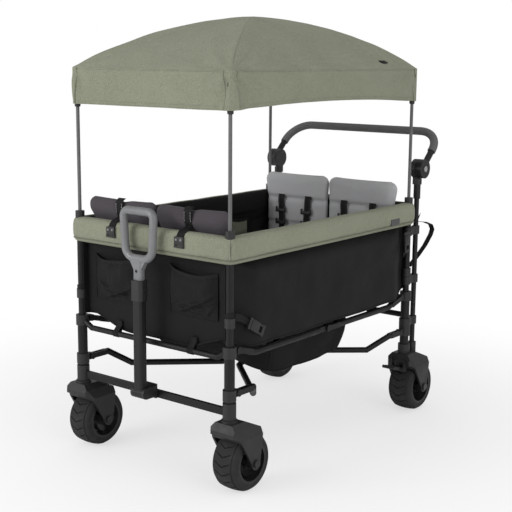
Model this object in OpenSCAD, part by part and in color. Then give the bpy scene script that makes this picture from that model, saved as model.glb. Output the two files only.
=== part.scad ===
// Folding stroller wagon: a fabric tub with a padded rim on a steel frame that folds lengthwise,
// with four wide wheels, a push handle, a pull handle, four seats and a four-panel canopy.
// The front faces -Y and the ground is z = 0. Left is towards +X, as the person pushing sees it.

/* [Frame] */
// Distance between the front and rear leg axes
wheelbase = 880; // [840:5:920]
// Distance between the left and right leg axes
track = 554; // [530:2:590]
// Outer diameter of the lower leg tubes
leg_d = 28; // [26:0.5:30]
// Outer diameter of the upper leg tubes
upper_d = 20; // [18:0.5:21]
// Wall of the frame tubes
tube_wall = 1.6; // [1.2:0.1:2]
// Height of the front leg tubes' lower ends
front_foot_z = 226; // [222:1:230]
// Height of the rear leg tubes' lower ends
rear_foot_z = 192; // [190:1:196]
// Height of the flat bar across the front
crossbar_h = 21; // [18:1:28]
// Thickness of the flat bar across the front
crossbar_t = 10; // [8:0.5:12]

/* [Fold] */
// Height of the floor rail pivots
rail_pivot_z = 385; // [378:1:392]
// Height of the base brace pivots
brace_pivot_z = 270; // [266:1:271]
// Distance from a leg axis to its fold pivots
pivot_out = 32; // [30:0.5:36]
// How far the middle pivots lie below the leg pivots
fold_drop = 20; // [14:1:26]
// Diameter of the floor rails
rail_d = 18; // [16:0.5:19]
// Diameter of the base braces
brace_d = 18; // [16:0.5:19]
// Diameter of the fold pins
pin_d = 8; // [7:0.5:9]

/* [Wheels] */
// Diameter of the wheels
wheel_d = 162; // [158:1:164]
// Width of the tyres
wheel_w = 80; // [76:1:84]
// Distance from a leg axis back to its wheel axle
trail = 48; // [46:1:52]
// Diameter of the axles
axle_d = 12; // [10:0.5:13]
// Number of spokes in a wheel
spokes = 10; // [8:1:12]
// Number of tread chevrons round a tyre
chevrons = 20; // [16:1:24]

/* [Rim and tub] */
// Height of the padded rim's top
rim_top = 686; // [676:1:700]
// Height of the padded rim band
rim_h = 71; // [64:1:76]
// Reach of the rim inside the leg axes
rim_in = 22; // [20:0.5:24]
// Reach of the rim outside the leg axes
rim_out = 20; // [18:0.5:24]
// Height of the tub walls' lower edges
tub_low = 408; // [404:1:412]
// Thickness of the tub fabric
wall_t = 3; // [2:0.5:4]
// Outward belly of the long tub walls
belly = 12; // [6:1:16]

/* [Canopy] */
// Diameter of the canopy poles
pole_d = 10; // [9:0.5:12]
// Height of the valance's lower edge
canopy_low = 1003; // [990:1:1020]
// Height of the valance's top seam
canopy_seam = 1102; // [1092:1:1112]
// Rise of the canopy's peak above the valance's top seam
canopy_rise = 148; // [135:1:160]
// Reach of the canopy outside the leg axes
canopy_over = 10.5; // [10.5:0.5:14]
// Thickness of the canopy fabric with its lining
canopy_t = 2.5; // [2:0.5:3]
// Rise of the bowed hip rods above a straight line
hip_bow = 35; // [26:1:40]

/* [Push handle] */
// Distance from the rear legs back to the handle posts
post_out = 50; // [48:1:56]
// Diameter of the handle posts
post_d = 16; // [15:0.5:18]
// Height of the handle's tilt joints
joint_z = 790; // [775:1:810]
// Diameter of the tilt joints
joint_d = 60; // [56:1:64]
// Length of the handle's arms from the tilt joint
arm_l = 168; // [155:1:185]
// Slope of the handle's arms above level
arm_slope = 44; // [35:1:50]
// Diameter of the handle tube
bar_d = 20; // [18:0.5:21]
// Diameter of the handle's foam grip
foam_d = 26; // [24:0.5:30]

/* [Pull handle] */
// Distance from the front legs forward to the pull handle
pull_out = 46; // [44:1:52]
// Height of the pull handle's pivot
pull_pivot_z = 232; // [228:1:236]
// Height of the pull tube's top
pull_tube_top = 512; // [490:1:530]
// Width of the pull tube
pull_w = 32; // [30:1:36]
// Depth of the pull tube
pull_depth = 26; // [25:1:30]
// Width of the D grip
loop_w = 134; // [120:1:150]
// Height of the D grip above its neck
loop_h = 154; // [140:1:170]
// Thickness of the D grip
loop_d = 22; // [18:0.5:26]

/* [Seats] */
// Width of one seat back
back_w = 250; // [230:1:250]
// Thickness of the seat backs
back_t = 36; // [28:1:44]
// Height of the seat backs' lower edges
back_low = 470; // [462:1:490]
// Height of the front seat backs' tops
front_back_top = 752; // [730:1:765]
// Height of the rear seat backs' tops
rear_back_top = 753; // [735:1:780]
// Thickness of the seat cushions
seat_t = 40; // [30:1:44]

/* [Storage] */
// Height of the front pockets
pocket_h = 134; // [110:1:145]
// Width of a front pocket
pocket_w = 168; // [140:1:180]
// How far a front pocket stands out
pocket_out = 26; // [20:1:27]
// Width of the rear bag
bag_w = 400; // [340:1:440]
// Depth of the rear bag
bag_depth = 92; // [70:1:100]
// Height of the rear bag
bag_h = 168; // [150:1:168]
// Length of the basket under the floor
basket_l = 450; // [400:5:480]
// Height of the basket's floor
basket_low = 267; // [266:1:290]

/* [Hidden] */
$fn = 48;
sides = [-1, 1];
left = 1;
right = -1;

// Running fit, gap between pieces that only lie side by side, and overrun of every cut
fit = 0.05;
gap = 0.3;
over = 1;

// Extra diameter of the bead where a bend meets a straight run
bead = 0.3;

// Places of the legs, with the whole wagon centred on the origin
leg_x = track / 2;
collar_wall = 4;
collar_h = 30;
pull_collar_wall = 4;
front_reach = pull_out + pull_depth / 2 + pull_collar_wall;
bar_l = arm_l - bar_d / 2;
rear_reach = post_out + bar_l * cos(arm_slope) + foam_d / 2;
rear_y = (wheelbase + front_reach - rear_reach) / 2;
front_y = rear_y - wheelbase;
mid_y = (front_y + rear_y) / 2;
half_base = wheelbase / 2;

// Small sizes of the leg fittings
upper_lap = 40;
slider_z = 450;
slider_h = 26;
socket_d = 26;
socket_low = 36;
socket_rise = 16;
socket_web = 4;
leg_sink = 8;
leg_top = rim_top - leg_sink;
foot_drop = 19;
foot_lap = 24;
foot_d = leg_d + 2 * collar_wall;
stem_d = 14;
stem_rise = 14;
rim_bar_d = 16;
rim_bar_drop = 38;
rim_bar_z = rim_top - rim_bar_drop;
crossbar_rise = 6;
crossbar_z = front_foot_z - foot_drop + crossbar_rise;
base_bar_z = 322;
front_rail_z = 366;
front_rail_dip = 22;
front_rail_in = 40;

// Fold pivots and the ends of the fold's bars
eye_r = 10;
lug_t = 8;
cheek_t = 4.4;
cheek_in = lug_t / 2 + gap;
cheek_h = 15;
cheek_l = 42;
cheek_lap = 16;
dip_run = 74;
rail_bend = 30;
rail_z = rail_pivot_z - fold_drop;
slat_w = 30;
slat_t = 11;
slat_rise = 28;
slat_tab_t = 8;
slat_places_shares = [0.36, 0.8];
board_t = 8;
board_side = 19;
board_half_w = leg_x - board_side;
board_start = 70;
board_gap = 3;
brace_dip = 40;
brace_level_run = 24;
brace_dip_run = 56;
brace_dip_in = 44;
hub_eye_t = 10;
hub_plate_l = 62;
rear_eye_x = 19;
front_eye_x = 33;
hub_pin_d = 10;
hub_pin_l = 84;
hub_block = [24, 30, 28];
open_fit = 0.4;

// Wheels and their forks
wheel_r = wheel_d / 2;
tyre_in_r = 57;
tyre_crown = 5;
tyre_side_r = 12;
groove_w = 3.6;
groove_depth = 4.5;
groove_reach_share = 0.42;
groove_sweep = 16;
rim_lip = 3;
rim_barrel_t = 4;
rim_hub_r = 14;
spoke_t = 4;
spoke_depth = 18;
spoke_curve_r = 34;
wheel_side_gap = 6;
fork_t = 7;
fork_gap = wheel_w + 2 * wheel_side_gap;
fork_w = fork_gap + 2 * fork_t;
hub_side_gap = 1;
arch_r = wheel_r + 7;
crown_z = 198;
boss_d = 44;
boss_h = 6;
washer_d = 38;
washer_h = 2.4;
axle_boss_r = 17;
head_d = 22;
head_h = 5;
shoulder_z = 176;
shoulder_w = 84;
skirt_z = 158;
crown_w = 58;
crown_front = 31;
crown_back = 30;
arm_front = 14;
arm_back = 76;
fork_bevel = 15;
fork_bevel_l = 24;
leg_socket_d = 38;
leg_socket_top = 228;
post_cup_d = 27;
post_cup_top = 224;
post_low = 206;

// Brake pedals
brake_y = 29;
brake_z = 150;
brake_pin_d = 7;
brake_eye_r = 8;
brake_ear_t = 6;
brake_ear_x = 20;
pedal_l = 62;
pedal_arm_w = 26;
pedal_t = 8;
pedal_nose_d = 10;
pedal_nose_w = 44;
pedal_slope = 16;
pedal_w = 42;
pedal_ribs = 3;
pedal_rib_l = 38;
pedal_rib_h = 1.5;
pedal_rib_w = 3;
pedal_rib_pitch = 8;

// Tub, rim and pockets
rim_low = rim_top - rim_h;
rim_r = (rim_in + rim_out) / 2;
rim_mid = (rim_out - rim_in) / 2;
piping_r = 3;
piping_rise = 12;
rim_corner_r = 16;
wall_in = 15;
wall_x = leg_x - wall_in;
wall_top = rim_low - gap;
return_l = 82;
wall_ripple = 1.6;
wall_ripples = 7;
wall_steps = 22;
wall_rows = 6;
pocket_low = 456;
pocket_x = 142;
pocket_t = 2;
bag_low = 446;
bag_t = 2.5;
bag_corner_r = 28;
basket_side = 27;
basket_w = track - 2 * basket_side;
basket_taper = 46;
basket_dip = 44;
basket_t = 2.5;
basket_steps = 8;

// Canopy
cap_d = 15;
cap_low = 40;
cap_bore = 15;
cap_up = 6;
rod_d = 7;
rod_rise_share = 1.1;
rod_lift = rod_d * rod_rise_share + canopy_t + gap;
rod_z0 = canopy_seam - rod_lift;
crown_d = 44;
crown_h = 9;
crown_up = 2;
canopy_top = canopy_seam + canopy_rise;
rod_z1 = canopy_top - rod_lift;
hip_run = norm([leg_x, half_base]);
hip_chord = norm([hip_run, rod_z1 - rod_z0]);
hip_r = hip_chord * hip_chord / (8 * hip_bow) + hip_bow / 2;
hip_up = [rod_z0 - rod_z1, hip_run] / hip_chord;
hip_centre = [hip_run, rod_z0 + rod_z1] / 2 - hip_up * (hip_r - hip_bow);
valance_flare = 3;
valance_arch = 14;
panel_sag = 11;
canopy_side_steps = 8;
canopy_rings = 8;
canopy_eye_share = 0.03;
valance_mid_share = 0.5;

// Push handle
sleeve_d = 22;
sleeve_l = 64;
sleeve_gap = 2;
sleeve_top = joint_z - joint_d / 2 - sleeve_gap;
neck_d = 28;
neck_l = 18;
fixed_in = 11;
fixed_out = 5;
moving_t = 22;
moving_in = fixed_out + gap;
spigot_d = 24;
spigot_l = 8;
bar_x = leg_x + moving_in + moving_t / 2;
bar_bend = 76;
bar_start = 20;
foam_start = 74;
button_d = 18;
button_rise = 2.5;
button_travel = 2;
button_seat = spigot_l + moving_in - fixed_out + button_travel;
guide_h = 26;
guide_low_z = brace_pivot_z + collar_h / 2 + gap + guide_h / 2;
guide_zs = [guide_low_z, 436, 594];
guide_web = 14;
guide_wall = 4;

// Pull handle
pull_pin_d = 10;
pull_eye_d = 30;
pull_ear_gap = 1;
pull_ear_t = 7;
pull_plate_t = 6;
pull_plate_h = 40;
pull_corner_r = 8;
pull_collar_h = 56;
pull_collar_lap = 22;
rod_pull_d = 20;
rod_pull_l = 300;
pull_neck_h = 42;
pull_neck_w = 30;
pull_neck_depth = 21;
loop_bend = 18;
loop_low_bend = 32;
loop_low_share = 0.1;
loop_taper_share = 0.86;
throat_w = 62;
throat_t = 15;
throat_h = 14;
throat_in = 1;
pull_button_d = 10;
pull_button_l = 9;
pull_button_in = 2.5;
pull_button_rise = 8;
pull_button_z = pull_tube_top + pull_button_rise;

// Seat cushions
pillow_sides = 20;
pillow_rows = 14;
pillow_power = 4;
pillow_pull = 5;
pillow_start = 4;
pillow_span = 180 - 2 * pillow_start;
pillow_taper_share = 0.25;
channel_depth_share = 0.3;
channel_width_share = 0.09;
back_channel_share = 0.32;
cushion_side = 32;
cushion_w = track - 2 * cushion_side;
cushion_l = 296;
seat_pair_gap = 6;

function unit(v) = v / norm(v);

// Angle through which a bent rod turns at point i
function turn(p, i) = acos(max(-1, min(1, unit(p[i] - p[i - 1]) * unit(p[i + 1] - p[i]))));

// Length of straight run that the bend at point i takes away
function trim(p, i, bend) = (i == 0 || i == len(p) - 1) ? 0 : bend * tan(turn(p, i) / 2);

module rod(a, b, d) {
    v = b - a;
    translate(a) rotate([0, acos(v.z / norm(v)), atan2(v.y, v.x)]) cylinder(d = d, h = norm(v));
}

module rod_bend(p, i, bend, d) {
    u = unit(p[i] - p[i - 1]);
    w = unit(p[i + 1] - p[i]);
    inward = unit(w - u * (u * w));
    n = cross(u, inward);
    c = p[i] - u * trim(p, i, bend) + inward * bend;
    multmatrix([[-inward.x, u.x, n.x, c.x], [-inward.y, u.y, n.y, c.y], [-inward.z, u.z, n.z, c.z]])
        rotate_extrude(angle = turn(p, i)) translate([bend, 0]) circle(d = d);
}

// A round rod through the points, with a true round bend at each inner point.
// A faint bead covers each place where a straight run meets a bend.
module bent_rod(p, bend, d) {
    for (i = [0 : len(p) - 2]) {
        u = unit(p[i + 1] - p[i]);
        from = p[i] + u * trim(p, i, bend);
        to = p[i + 1] - u * trim(p, i + 1, bend);
        rod(from, to, d);
        if (i > 0)
            translate(from) sphere(d = d + bead);
        if (i < len(p) - 2)
            translate(to) sphere(d = d + bead);
    }
    for (i = [1 : 1 : len(p) - 2])
        rod_bend(p, i, bend, d);
}

// A closed skin over rings of points, with a flat cap on the first and last ring.
// A thin ring, whose second half comes back along the first, is capped across in strips.
module loft(rings, thin = false) {
    n = len(rings[0]);
    end = (len(rings) - 1) * n;
    points = [for (ring = rings) for (q = ring) q];
    bands = [for (i = [0 : len(rings) - 2]) for (j = [0 : n - 1]) each [
        [i * n + j, (i + 1) * n + j, i * n + (j + 1) % n],
        [i * n + (j + 1) % n, (i + 1) * n + j, (i + 1) * n + (j + 1) % n],
    ]];
    strips = [for (j = [0 : n / 2 - 2]) each [
        [j, j + 1, n - 1 - j], [j + 1, n - 2 - j, n - 1 - j],
        [end + j + 1, end + j, end + n - 1 - j], [end + n - 2 - j, end + j + 1, end + n - 1 - j],
    ]];
    flats = [[for (j = [0 : n - 1]) j], [for (j = [n - 1 : -1 : 0]) end + j]];
    polyhedron(points, concat(bands, thin ? strips : flats), convexity = 6);
}

// A round rod through the points, bent sharply at a knuckle on each inner point
module knuckled_rod(p, d) {
    for (i = [0 : len(p) - 2])
        rod(p[i], p[i + 1], d);
    for (i = [1 : 1 : len(p) - 2])
        translate(p[i]) sphere(d = d + bead);
}

module tube(d, z0, z1) {
    difference() {
        translate([0, 0, z0]) cylinder(d = d, h = z1 - z0);
        translate([0, 0, z0 - over]) cylinder(d = d - 2 * tube_wall, h = z1 - z0 + 2 * over);
    }
}

module rod_x(d, l) {
    rotate([0, 90, 0]) cylinder(d = d, h = l, center = true);
}

module rounded_rect(w, h, r) {
    square([w - 2 * r, h], center = true);
    square([w, h - 2 * r], center = true);
    for (sx = sides, sy = sides)
        translate([sx * (w / 2 - r), sy * (h / 2 - r)]) circle(r = r);
}

// A flat profile drawn in Y and Z, and given a thickness along X
module plate_x(t) {
    rotate([90, 0, 90]) linear_extrude(t, center = true) children();
}

module eye_outline(r, l, h) {
    circle(r = r);
    translate([0, -h / 2]) square([l, h]);
}

// Leg tubes, with the thin upper tube standing in the lower one
module leg_pair(y, foot_z) {
    for (s = sides)
        translate([s * leg_x, y, 0]) {
            tube(leg_d, foot_z, rail_pivot_z);
            tube(upper_d, rail_pivot_z - upper_lap, leg_top);
        }
}

// A collar on a leg, with a lug that carries a fold pin
module lug_collar(z, dir, top_d) {
    difference() {
        union() {
            translate([0, 0, z - collar_h / 2]) cylinder(d = leg_d + 2 * collar_wall, h = collar_h);
            translate([0, dir * pivot_out, z]) rotate([dir > 0 ? 180 : 0, 0, 0])
                plate_x(lug_t) eye_outline(eye_r, pivot_out, 2 * eye_r);
        }
        translate([0, 0, z - collar_h / 2 - over])
            cylinder(d = leg_d + 2 * fit, h = collar_h / 2 + over + fit);
        translate([0, 0, z]) cylinder(d = top_d + 2 * fit, h = collar_h / 2 + over);
        translate([0, dir * pivot_out, z]) rod_x(pin_d + 2 * fit, lug_t + 2 * over);
    }
}

module slider() {
    difference() {
        translate([0, 0, slider_z]) cylinder(d = upper_d + 2 * collar_wall, h = slider_h);
        translate([0, 0, slider_z - over]) cylinder(d = upper_d + 2 * fit, h = slider_h + 2 * over);
    }
}

module pole_socket() {
    low = leg_top - socket_low;
    difference() {
        translate([0, 0, low]) cylinder(d = socket_d, h = rim_top + socket_rise - low);
        translate([0, 0, low - over]) cylinder(d = upper_d + 2 * fit, h = socket_low + over);
        translate([0, 0, leg_top + socket_web]) cylinder(d = pole_d + 2 * fit, h = socket_low + socket_rise);
    }
}

module foot_cup() {
    low = front_foot_z - foot_drop;
    difference() {
        translate([0, 0, low]) cylinder(d = foot_d, h = foot_drop + foot_lap);
        translate([0, 0, front_foot_z]) cylinder(d = leg_d + 2 * fit, h = foot_lap + over);
        translate([0, 0, low - over]) cylinder(d = stem_d + 2 * fit, h = foot_drop + 2 * over);
    }
}

module leg_fittings(y, dir) {
    for (s = sides)
        translate([s * leg_x, y, 0]) {
            lug_collar(rail_pivot_z, dir, upper_d);
            lug_collar(brace_pivot_z, dir, leg_d);
            slider();
            pole_socket();
        }
}

module rim_bar(y) {
    difference() {
        translate([0, y, rim_bar_z]) rod_x(rim_bar_d, track);
        for (s = sides)
            translate([s * leg_x, y, leg_top - socket_low - over])
                cylinder(d = socket_d + 2 * fit, h = socket_low + socket_rise);
    }
}

module rear_legs() {
    color("dimgray") leg_pair(rear_y, rear_foot_z);
}

module front_legs() {
    color("dimgray") leg_pair(front_y, front_foot_z);
}

module rear_leg_fittings() {
    color("black") leg_fittings(rear_y, -1);
}

module front_leg_fittings() {
    color("black") {
        leg_fittings(front_y, 1);
        for (s = sides)
            translate([s * leg_x, front_y, 0]) foot_cup();
    }
}

module rear_crossbars() {
    color("dimgray") {
        rim_bar(rear_y);
        difference() {
            translate([0, rear_y, base_bar_z]) rod_x(rail_d, track);
            for (s = sides)
                translate([s * leg_x, rear_y, base_bar_z - rail_d])
                    cylinder(d = leg_d + 2 * fit, h = 2 * rail_d);
        }
    }
}

// Rail under the front wall, dipping between the leg collars
module front_rail() {
    dip = front_rail_z + front_rail_dip;
    difference() {
        knuckled_rod([
            [-leg_x, front_y, dip], [front_rail_in - leg_x, front_y, front_rail_z],
            [leg_x - front_rail_in, front_y, front_rail_z], [leg_x, front_y, dip],
        ], rim_bar_d);
        for (s = sides)
            translate([s * leg_x, front_y, front_rail_z - front_rail_in])
                cylinder(d = leg_d + 2 * collar_wall + 2 * fit, h = 2 * front_rail_in);
    }
}

module front_crossbars() {
    color("dimgray") {
        rim_bar(front_y);
        difference() {
            translate([-leg_x, front_y - crossbar_t / 2, crossbar_z]) cube([track, crossbar_t, crossbar_h]);
            for (s = sides)
                translate([s * leg_x, front_y, crossbar_z - over])
                    cylinder(d = foot_d + 2 * fit, h = crossbar_h + 2 * over);
        }
        front_rail();
    }
}

// Side outline of a fork from the crown down to the axle, in Y and Z from the leg axis
module fork_side() {
    polygon([
        [-crown_front, shoulder_z], [-crown_front + fork_t, crown_z], [crown_back, crown_z],
        [arm_back, shoulder_z], [arm_back, skirt_z],
        [trail + axle_boss_r, wheel_r], [trail - axle_boss_r, wheel_r],
        [-arm_front, skirt_z], [-crown_front, skirt_z + fork_t],
    ]);
    translate([trail, wheel_r]) circle(r = axle_boss_r);
}

// Front outline of a fork: a flat crown, sloped shoulders and upright arms
module fork_front() {
    low = wheel_r - axle_boss_r - over;
    polygon([
        [-crown_w / 2, crown_z], [crown_w / 2, crown_z], [shoulder_w / 2, shoulder_z + fork_t],
        [fork_w / 2, skirt_z], [fork_w / 2, low], [-fork_w / 2, low],
        [-fork_w / 2, skirt_z], [-shoulder_w / 2, shoulder_z + fork_t],
    ]);
}

// Plan outline of a fork, with bevelled front corners
module fork_plan() {
    polygon([
        [-fork_w / 2, arm_back + trail], [-fork_w / 2, fork_bevel_l - crown_front],
        [fork_bevel - fork_w / 2, -crown_front - over], [fork_w / 2 - fork_bevel, -crown_front - over],
        [fork_w / 2, fork_bevel_l - crown_front], [fork_w / 2, arm_back + trail],
    ]);
}

module fork() {
    difference() {
        intersection() {
            plate_x(fork_w) fork_side();
            translate([0, trail, 0]) rotate([90, 0, 0])
                linear_extrude(2 * (trail + arm_back), center = true) fork_front();
            linear_extrude(crown_z + over) fork_plan();
        }
        translate([0, trail, wheel_r]) rod_x(2 * arch_r, fork_gap);
        translate([-fork_gap / 2, -arch_r, 0]) cube([fork_gap, 2 * arch_r + trail, wheel_r]);
        translate([0, trail, wheel_r]) rod_x(axle_d + 2 * fit, fork_w + 2 * over);
    }
}

module axle() {
    translate([0, trail, wheel_r]) {
        rod_x(axle_d, fork_w + 2 * over);
        for (s = sides)
            translate([s * ((fork_w + head_h) / 2 + fit), 0, 0]) rod_x(head_d, head_h);
    }
}

module caster(side) {
    washer_z = crown_z + boss_h + fit;
    translate([side * leg_x, front_y, 0]) {
        color("black") {
            fork();
            translate([0, 0, crown_z]) cylinder(d = boss_d, h = boss_h);
        }
        color("silver") {
            translate([0, 0, washer_z]) cylinder(d = washer_d, h = washer_h);
            translate([0, 0, washer_z]) cylinder(d = stem_d, h = front_foot_z + stem_rise - washer_z);
            axle();
        }
    }
}

module caster_left() {
    caster(left);
}

module caster_right() {
    caster(right);
}

// Rear wheel housing: a fixed fork with sockets for the leg and the handle post
module rear_housing() {
    difference() {
        union() {
            fork();
            cylinder(d = leg_socket_d, h = leg_socket_top);
            translate([0, post_out, 0]) cylinder(d = post_cup_d, h = post_cup_top);
            for (s = sides)
                translate([s * (brake_ear_x + brake_ear_t / 2), -brake_y, brake_z]) rotate([90, 0, 0])
                    plate_x(brake_ear_t)
                        eye_outline(brake_eye_r, shoulder_z - brake_z + fork_t, 2 * brake_eye_r);
            translate([0, -brake_y, brake_z]) rod_x(brake_pin_d, 2 * brake_ear_x + brake_ear_t);
        }
        translate([0, trail, wheel_r]) rod_x(2 * arch_r, fork_gap);
        translate([-fork_gap / 2, -arch_r, 0]) cube([fork_gap, 3 * arch_r, wheel_r]);
        translate([-fork_gap / 2, -leg_socket_d, 0])
            cube([fork_gap, 2 * leg_socket_d, brake_z - brake_eye_r - over]);
        translate([0, 0, rear_foot_z]) cylinder(d = leg_d + 2 * fit, h = leg_socket_top);
        translate([0, post_out, post_low]) cylinder(d = post_d + 2 * fit, h = post_cup_top);
    }
}

module rear_housings() {
    color("black")
        for (s = sides)
            translate([s * leg_x, rear_y, 0]) rear_housing();
}

module rear_axles() {
    color("silver")
        for (s = sides)
            translate([s * leg_x, rear_y, 0]) axle();
}

// Tyre with a crowned tread, rounded shoulders and chevron grooves
module tyre() {
    reach = wheel_w * groove_reach_share;
    crown_r = (wheel_w * wheel_w / 4 + tyre_crown * tyre_crown) / (2 * tyre_crown);
    difference() {
        rotate([0, 90, 0]) rotate_extrude()
            intersection() {
                translate([tyre_in_r, -wheel_w / 2]) square([wheel_r - tyre_in_r, wheel_w]);
                translate([wheel_r - crown_r, 0]) circle(r = crown_r, $fn = 96);
                union() {
                    translate([tyre_in_r, -wheel_w / 2])
                        square([wheel_r - tyre_in_r - tyre_crown - tyre_side_r, wheel_w]);
                    translate([tyre_in_r, -wheel_w / 2 + tyre_side_r])
                        square([wheel_r - tyre_in_r, wheel_w - 2 * tyre_side_r]);
                    for (s = sides)
                        translate([wheel_r - tyre_crown - tyre_side_r, s * (wheel_w / 2 - tyre_side_r)])
                            circle(r = tyre_side_r);
                }
            }
        for (i = [0 : chevrons - 1])
            rotate([i * 360 / chevrons, 0, 0]) translate([0, 0, wheel_r - groove_depth])
                linear_extrude(groove_depth + over)
                    polygon([
                        [-reach, groove_sweep], [0, 0], [reach, groove_sweep],
                        [reach, groove_sweep + groove_w], [0, groove_w], [-reach, groove_sweep + groove_w],
                    ]);
    }
}

// Wheel centre: a deep barrel with lips, a hub tube and curved spokes
module wheel_rim() {
    barrel_r = tyre_in_r - fit;
    inner_r = barrel_r - rim_barrel_t;
    hub_l = fork_gap - 2 * hub_side_gap;
    rotate([0, 90, 0]) {
        rotate_extrude() {
            translate([inner_r, -wheel_w / 2]) square([rim_barrel_t, wheel_w]);
            for (s = sides)
                translate([inner_r - rim_lip, s * (wheel_w - rim_lip) / 2 - rim_lip / 2])
                    square([2 * rim_lip, rim_lip]);
            translate([axle_d / 2 + fit, -hub_l / 2]) square([rim_hub_r - axle_d / 2 - fit, hub_l]);
        }
        linear_extrude(spoke_depth, center = true)
            for (i = [0 : spokes - 1])
                rotate(i * 360 / spokes) intersection() {
                    difference() {
                        circle(r = inner_r + rim_barrel_t / 2);
                        circle(r = rim_hub_r - (rim_hub_r - axle_d / 2) / 2);
                    }
                    translate([0, spoke_curve_r]) difference() {
                        circle(r = spoke_curve_r + spoke_t / 2);
                        circle(r = spoke_curve_r - spoke_t / 2);
                    }
                    square([tyre_in_r, tyre_in_r]);
                }
    }
}

module wheel_place(side, y) {
    translate([side * leg_x, y + trail, wheel_r]) children();
}

module front_tyre_left() {
    color("dimgray") wheel_place(left, front_y) tyre();
}

module front_tyre_right() {
    color("dimgray") wheel_place(right, front_y) tyre();
}

module rear_tyre_left() {
    color("dimgray") wheel_place(left, rear_y) tyre();
}

module rear_tyre_right() {
    color("dimgray") wheel_place(right, rear_y) tyre();
}

module front_rim_left() {
    color("black") wheel_place(left, front_y) wheel_rim();
}

module front_rim_right() {
    color("black") wheel_place(right, front_y) wheel_rim();
}

module rear_rim_left() {
    color("black") wheel_place(left, rear_y) wheel_rim();
}

module rear_rim_right() {
    color("black") wheel_place(right, rear_y) wheel_rim();
}

// Foot pedal of a wheel lock, ribbed for the shoe
module brake_pedal(side) {
    eye_w = 2 * (brake_ear_x - gap);
    translate([side * leg_x, rear_y - brake_y, brake_z]) difference() {
        union() {
            rod_x(2 * brake_eye_r, eye_w);
            rotate([-pedal_slope, 0, 0]) {
                translate([-pedal_arm_w / 2, -pedal_l, -pedal_t / 2])
                    cube([pedal_arm_w, pedal_l - brake_pin_d, pedal_t]);
                translate([0, -pedal_l, 0]) rod_x(pedal_nose_d, pedal_nose_w);
                translate([-pedal_w / 2, -pedal_l, -pedal_t / 2]) cube([pedal_w, pedal_l / 2, pedal_t]);
                for (i = [0 : pedal_ribs - 1])
                    translate([-pedal_rib_l / 2, -pedal_l + (i + 1) * pedal_rib_pitch, pedal_t / 2 - over])
                        cube([pedal_rib_l, pedal_rib_w, pedal_rib_h + over]);
            }
        }
        rod_x(brake_pin_d + 2 * fit, eye_w + 2 * over);
    }
}

module brake_pedal_left() {
    color("gray") brake_pedal(left);
}

module brake_pedal_right() {
    color("gray") brake_pedal(right);
}

// Forked end of a bar that straddles a lug, with its pin
module fork_end(p, angle) {
    translate(p) rotate([angle, 0, 0]) {
        for (s = sides)
            translate([s * (cheek_in + cheek_t / 2), 0, 0])
                plate_x(cheek_t) eye_outline(eye_r, cheek_l + cheek_lap, cheek_h);
        rod_x(pin_d, 2 * cheek_in + cheek_t);
    }
}

// Flat end of a bar with a bore for a pin
module tongue_end(p, angle, t, l, bore) {
    translate(p) rotate([angle, 0, 0])
        plate_x(t) difference() {
            eye_outline(eye_r, l, cheek_h);
            circle(d = bore);
        }
}

// One floor rail from its leg pivot to the middle hinge; dir is the way from leg to middle
module floor_rail(x, y, dir) {
    leg_pin = [x, y + dir * pivot_out, rail_pivot_z];
    dip = leg_pin + [0, dir * dip_run, -fold_drop];
    middle = [x, mid_y, rail_z];
    u = unit(dip - leg_pin);
    bent_rod([leg_pin + u * cheek_l, dip, middle - [0, dir * cheek_l, 0]], rail_bend, rail_d);
    fork_end(leg_pin, atan2(u.z, u.y));
    if (dir < 0)
        fork_end(middle, 0);
    else
        tongue_end(middle, 180, lug_t, cheek_l + cheek_lap, pin_d + 2 * fit);
}

// Raised slats across the rails that carry the floor board
module floor_slats(y, dir) {
    span = half_base - pivot_out;
    top = rail_z + slat_rise + slat_t;
    for (share = slat_places_shares)
        difference() {
            union() {
                translate([-board_half_w, y + dir * (pivot_out + span * share) - slat_w / 2, top - slat_t])
                    cube([2 * board_half_w, slat_w, slat_t]);
                for (s = sides)
                    translate([
                        s * (board_half_w + slat_tab_t / 2) - slat_tab_t,
                        y + dir * (pivot_out + span * share) - slat_w / 2, rail_z,
                    ]) cube([2 * slat_tab_t, slat_w, top - rail_z]);
            }
            for (s = sides)
                translate([s * leg_x, mid_y, rail_z]) rotate([90, 0, 0])
                    cylinder(d = rail_d + 2 * fit, h = wheelbase, center = true);
        }
}

module floor_frame(y, dir) {
    color("dimgray") {
        for (s = sides)
            floor_rail(s * leg_x, y, dir);
        floor_slats(y, dir);
    }
}

module rear_floor_frame() {
    floor_frame(rear_y, -1);
}

module front_floor_frame() {
    floor_frame(front_y, 1);
}

module floor_board(y, dir) {
    from = y + dir * (pivot_out + board_start);
    to = mid_y - dir * board_gap;
    translate([-board_half_w, min(from, to), rail_z + slat_rise + slat_t])
        cube([2 * board_half_w, abs(to - from), board_t]);
}

module rear_floor_board() {
    color("black") floor_board(rear_y, -1);
}

module front_floor_board() {
    color("black") floor_board(front_y, 1);
}

// One base brace, from a leg lug down and across to the hub in the middle
module brace(s, y, dir, eye_x, bore) {
    leg_pin = [s * leg_x, y + dir * pivot_out, brace_pivot_z];
    level = leg_pin + [0, dir * (cheek_l + brace_level_run), 0];
    dip = level + [-s * brace_dip_in, dir * brace_dip_run, -brace_dip];
    hub_pin = [s * eye_x, mid_y, brace_pivot_z - fold_drop];
    plate_end = hub_pin - [0, dir * hub_plate_l, 0];
    low = [s * eye_x, plate_end.y - dir * brace_dip, dip.z];
    knuckled_rod([leg_pin + [0, dir * cheek_l, 0], level, dip, low, plate_end], brace_d);
    fork_end(leg_pin, dir > 0 ? 0 : 180);
    tongue_end(hub_pin, dir > 0 ? 180 : 0, hub_eye_t, hub_plate_l + cheek_lap, bore);
}

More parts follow.
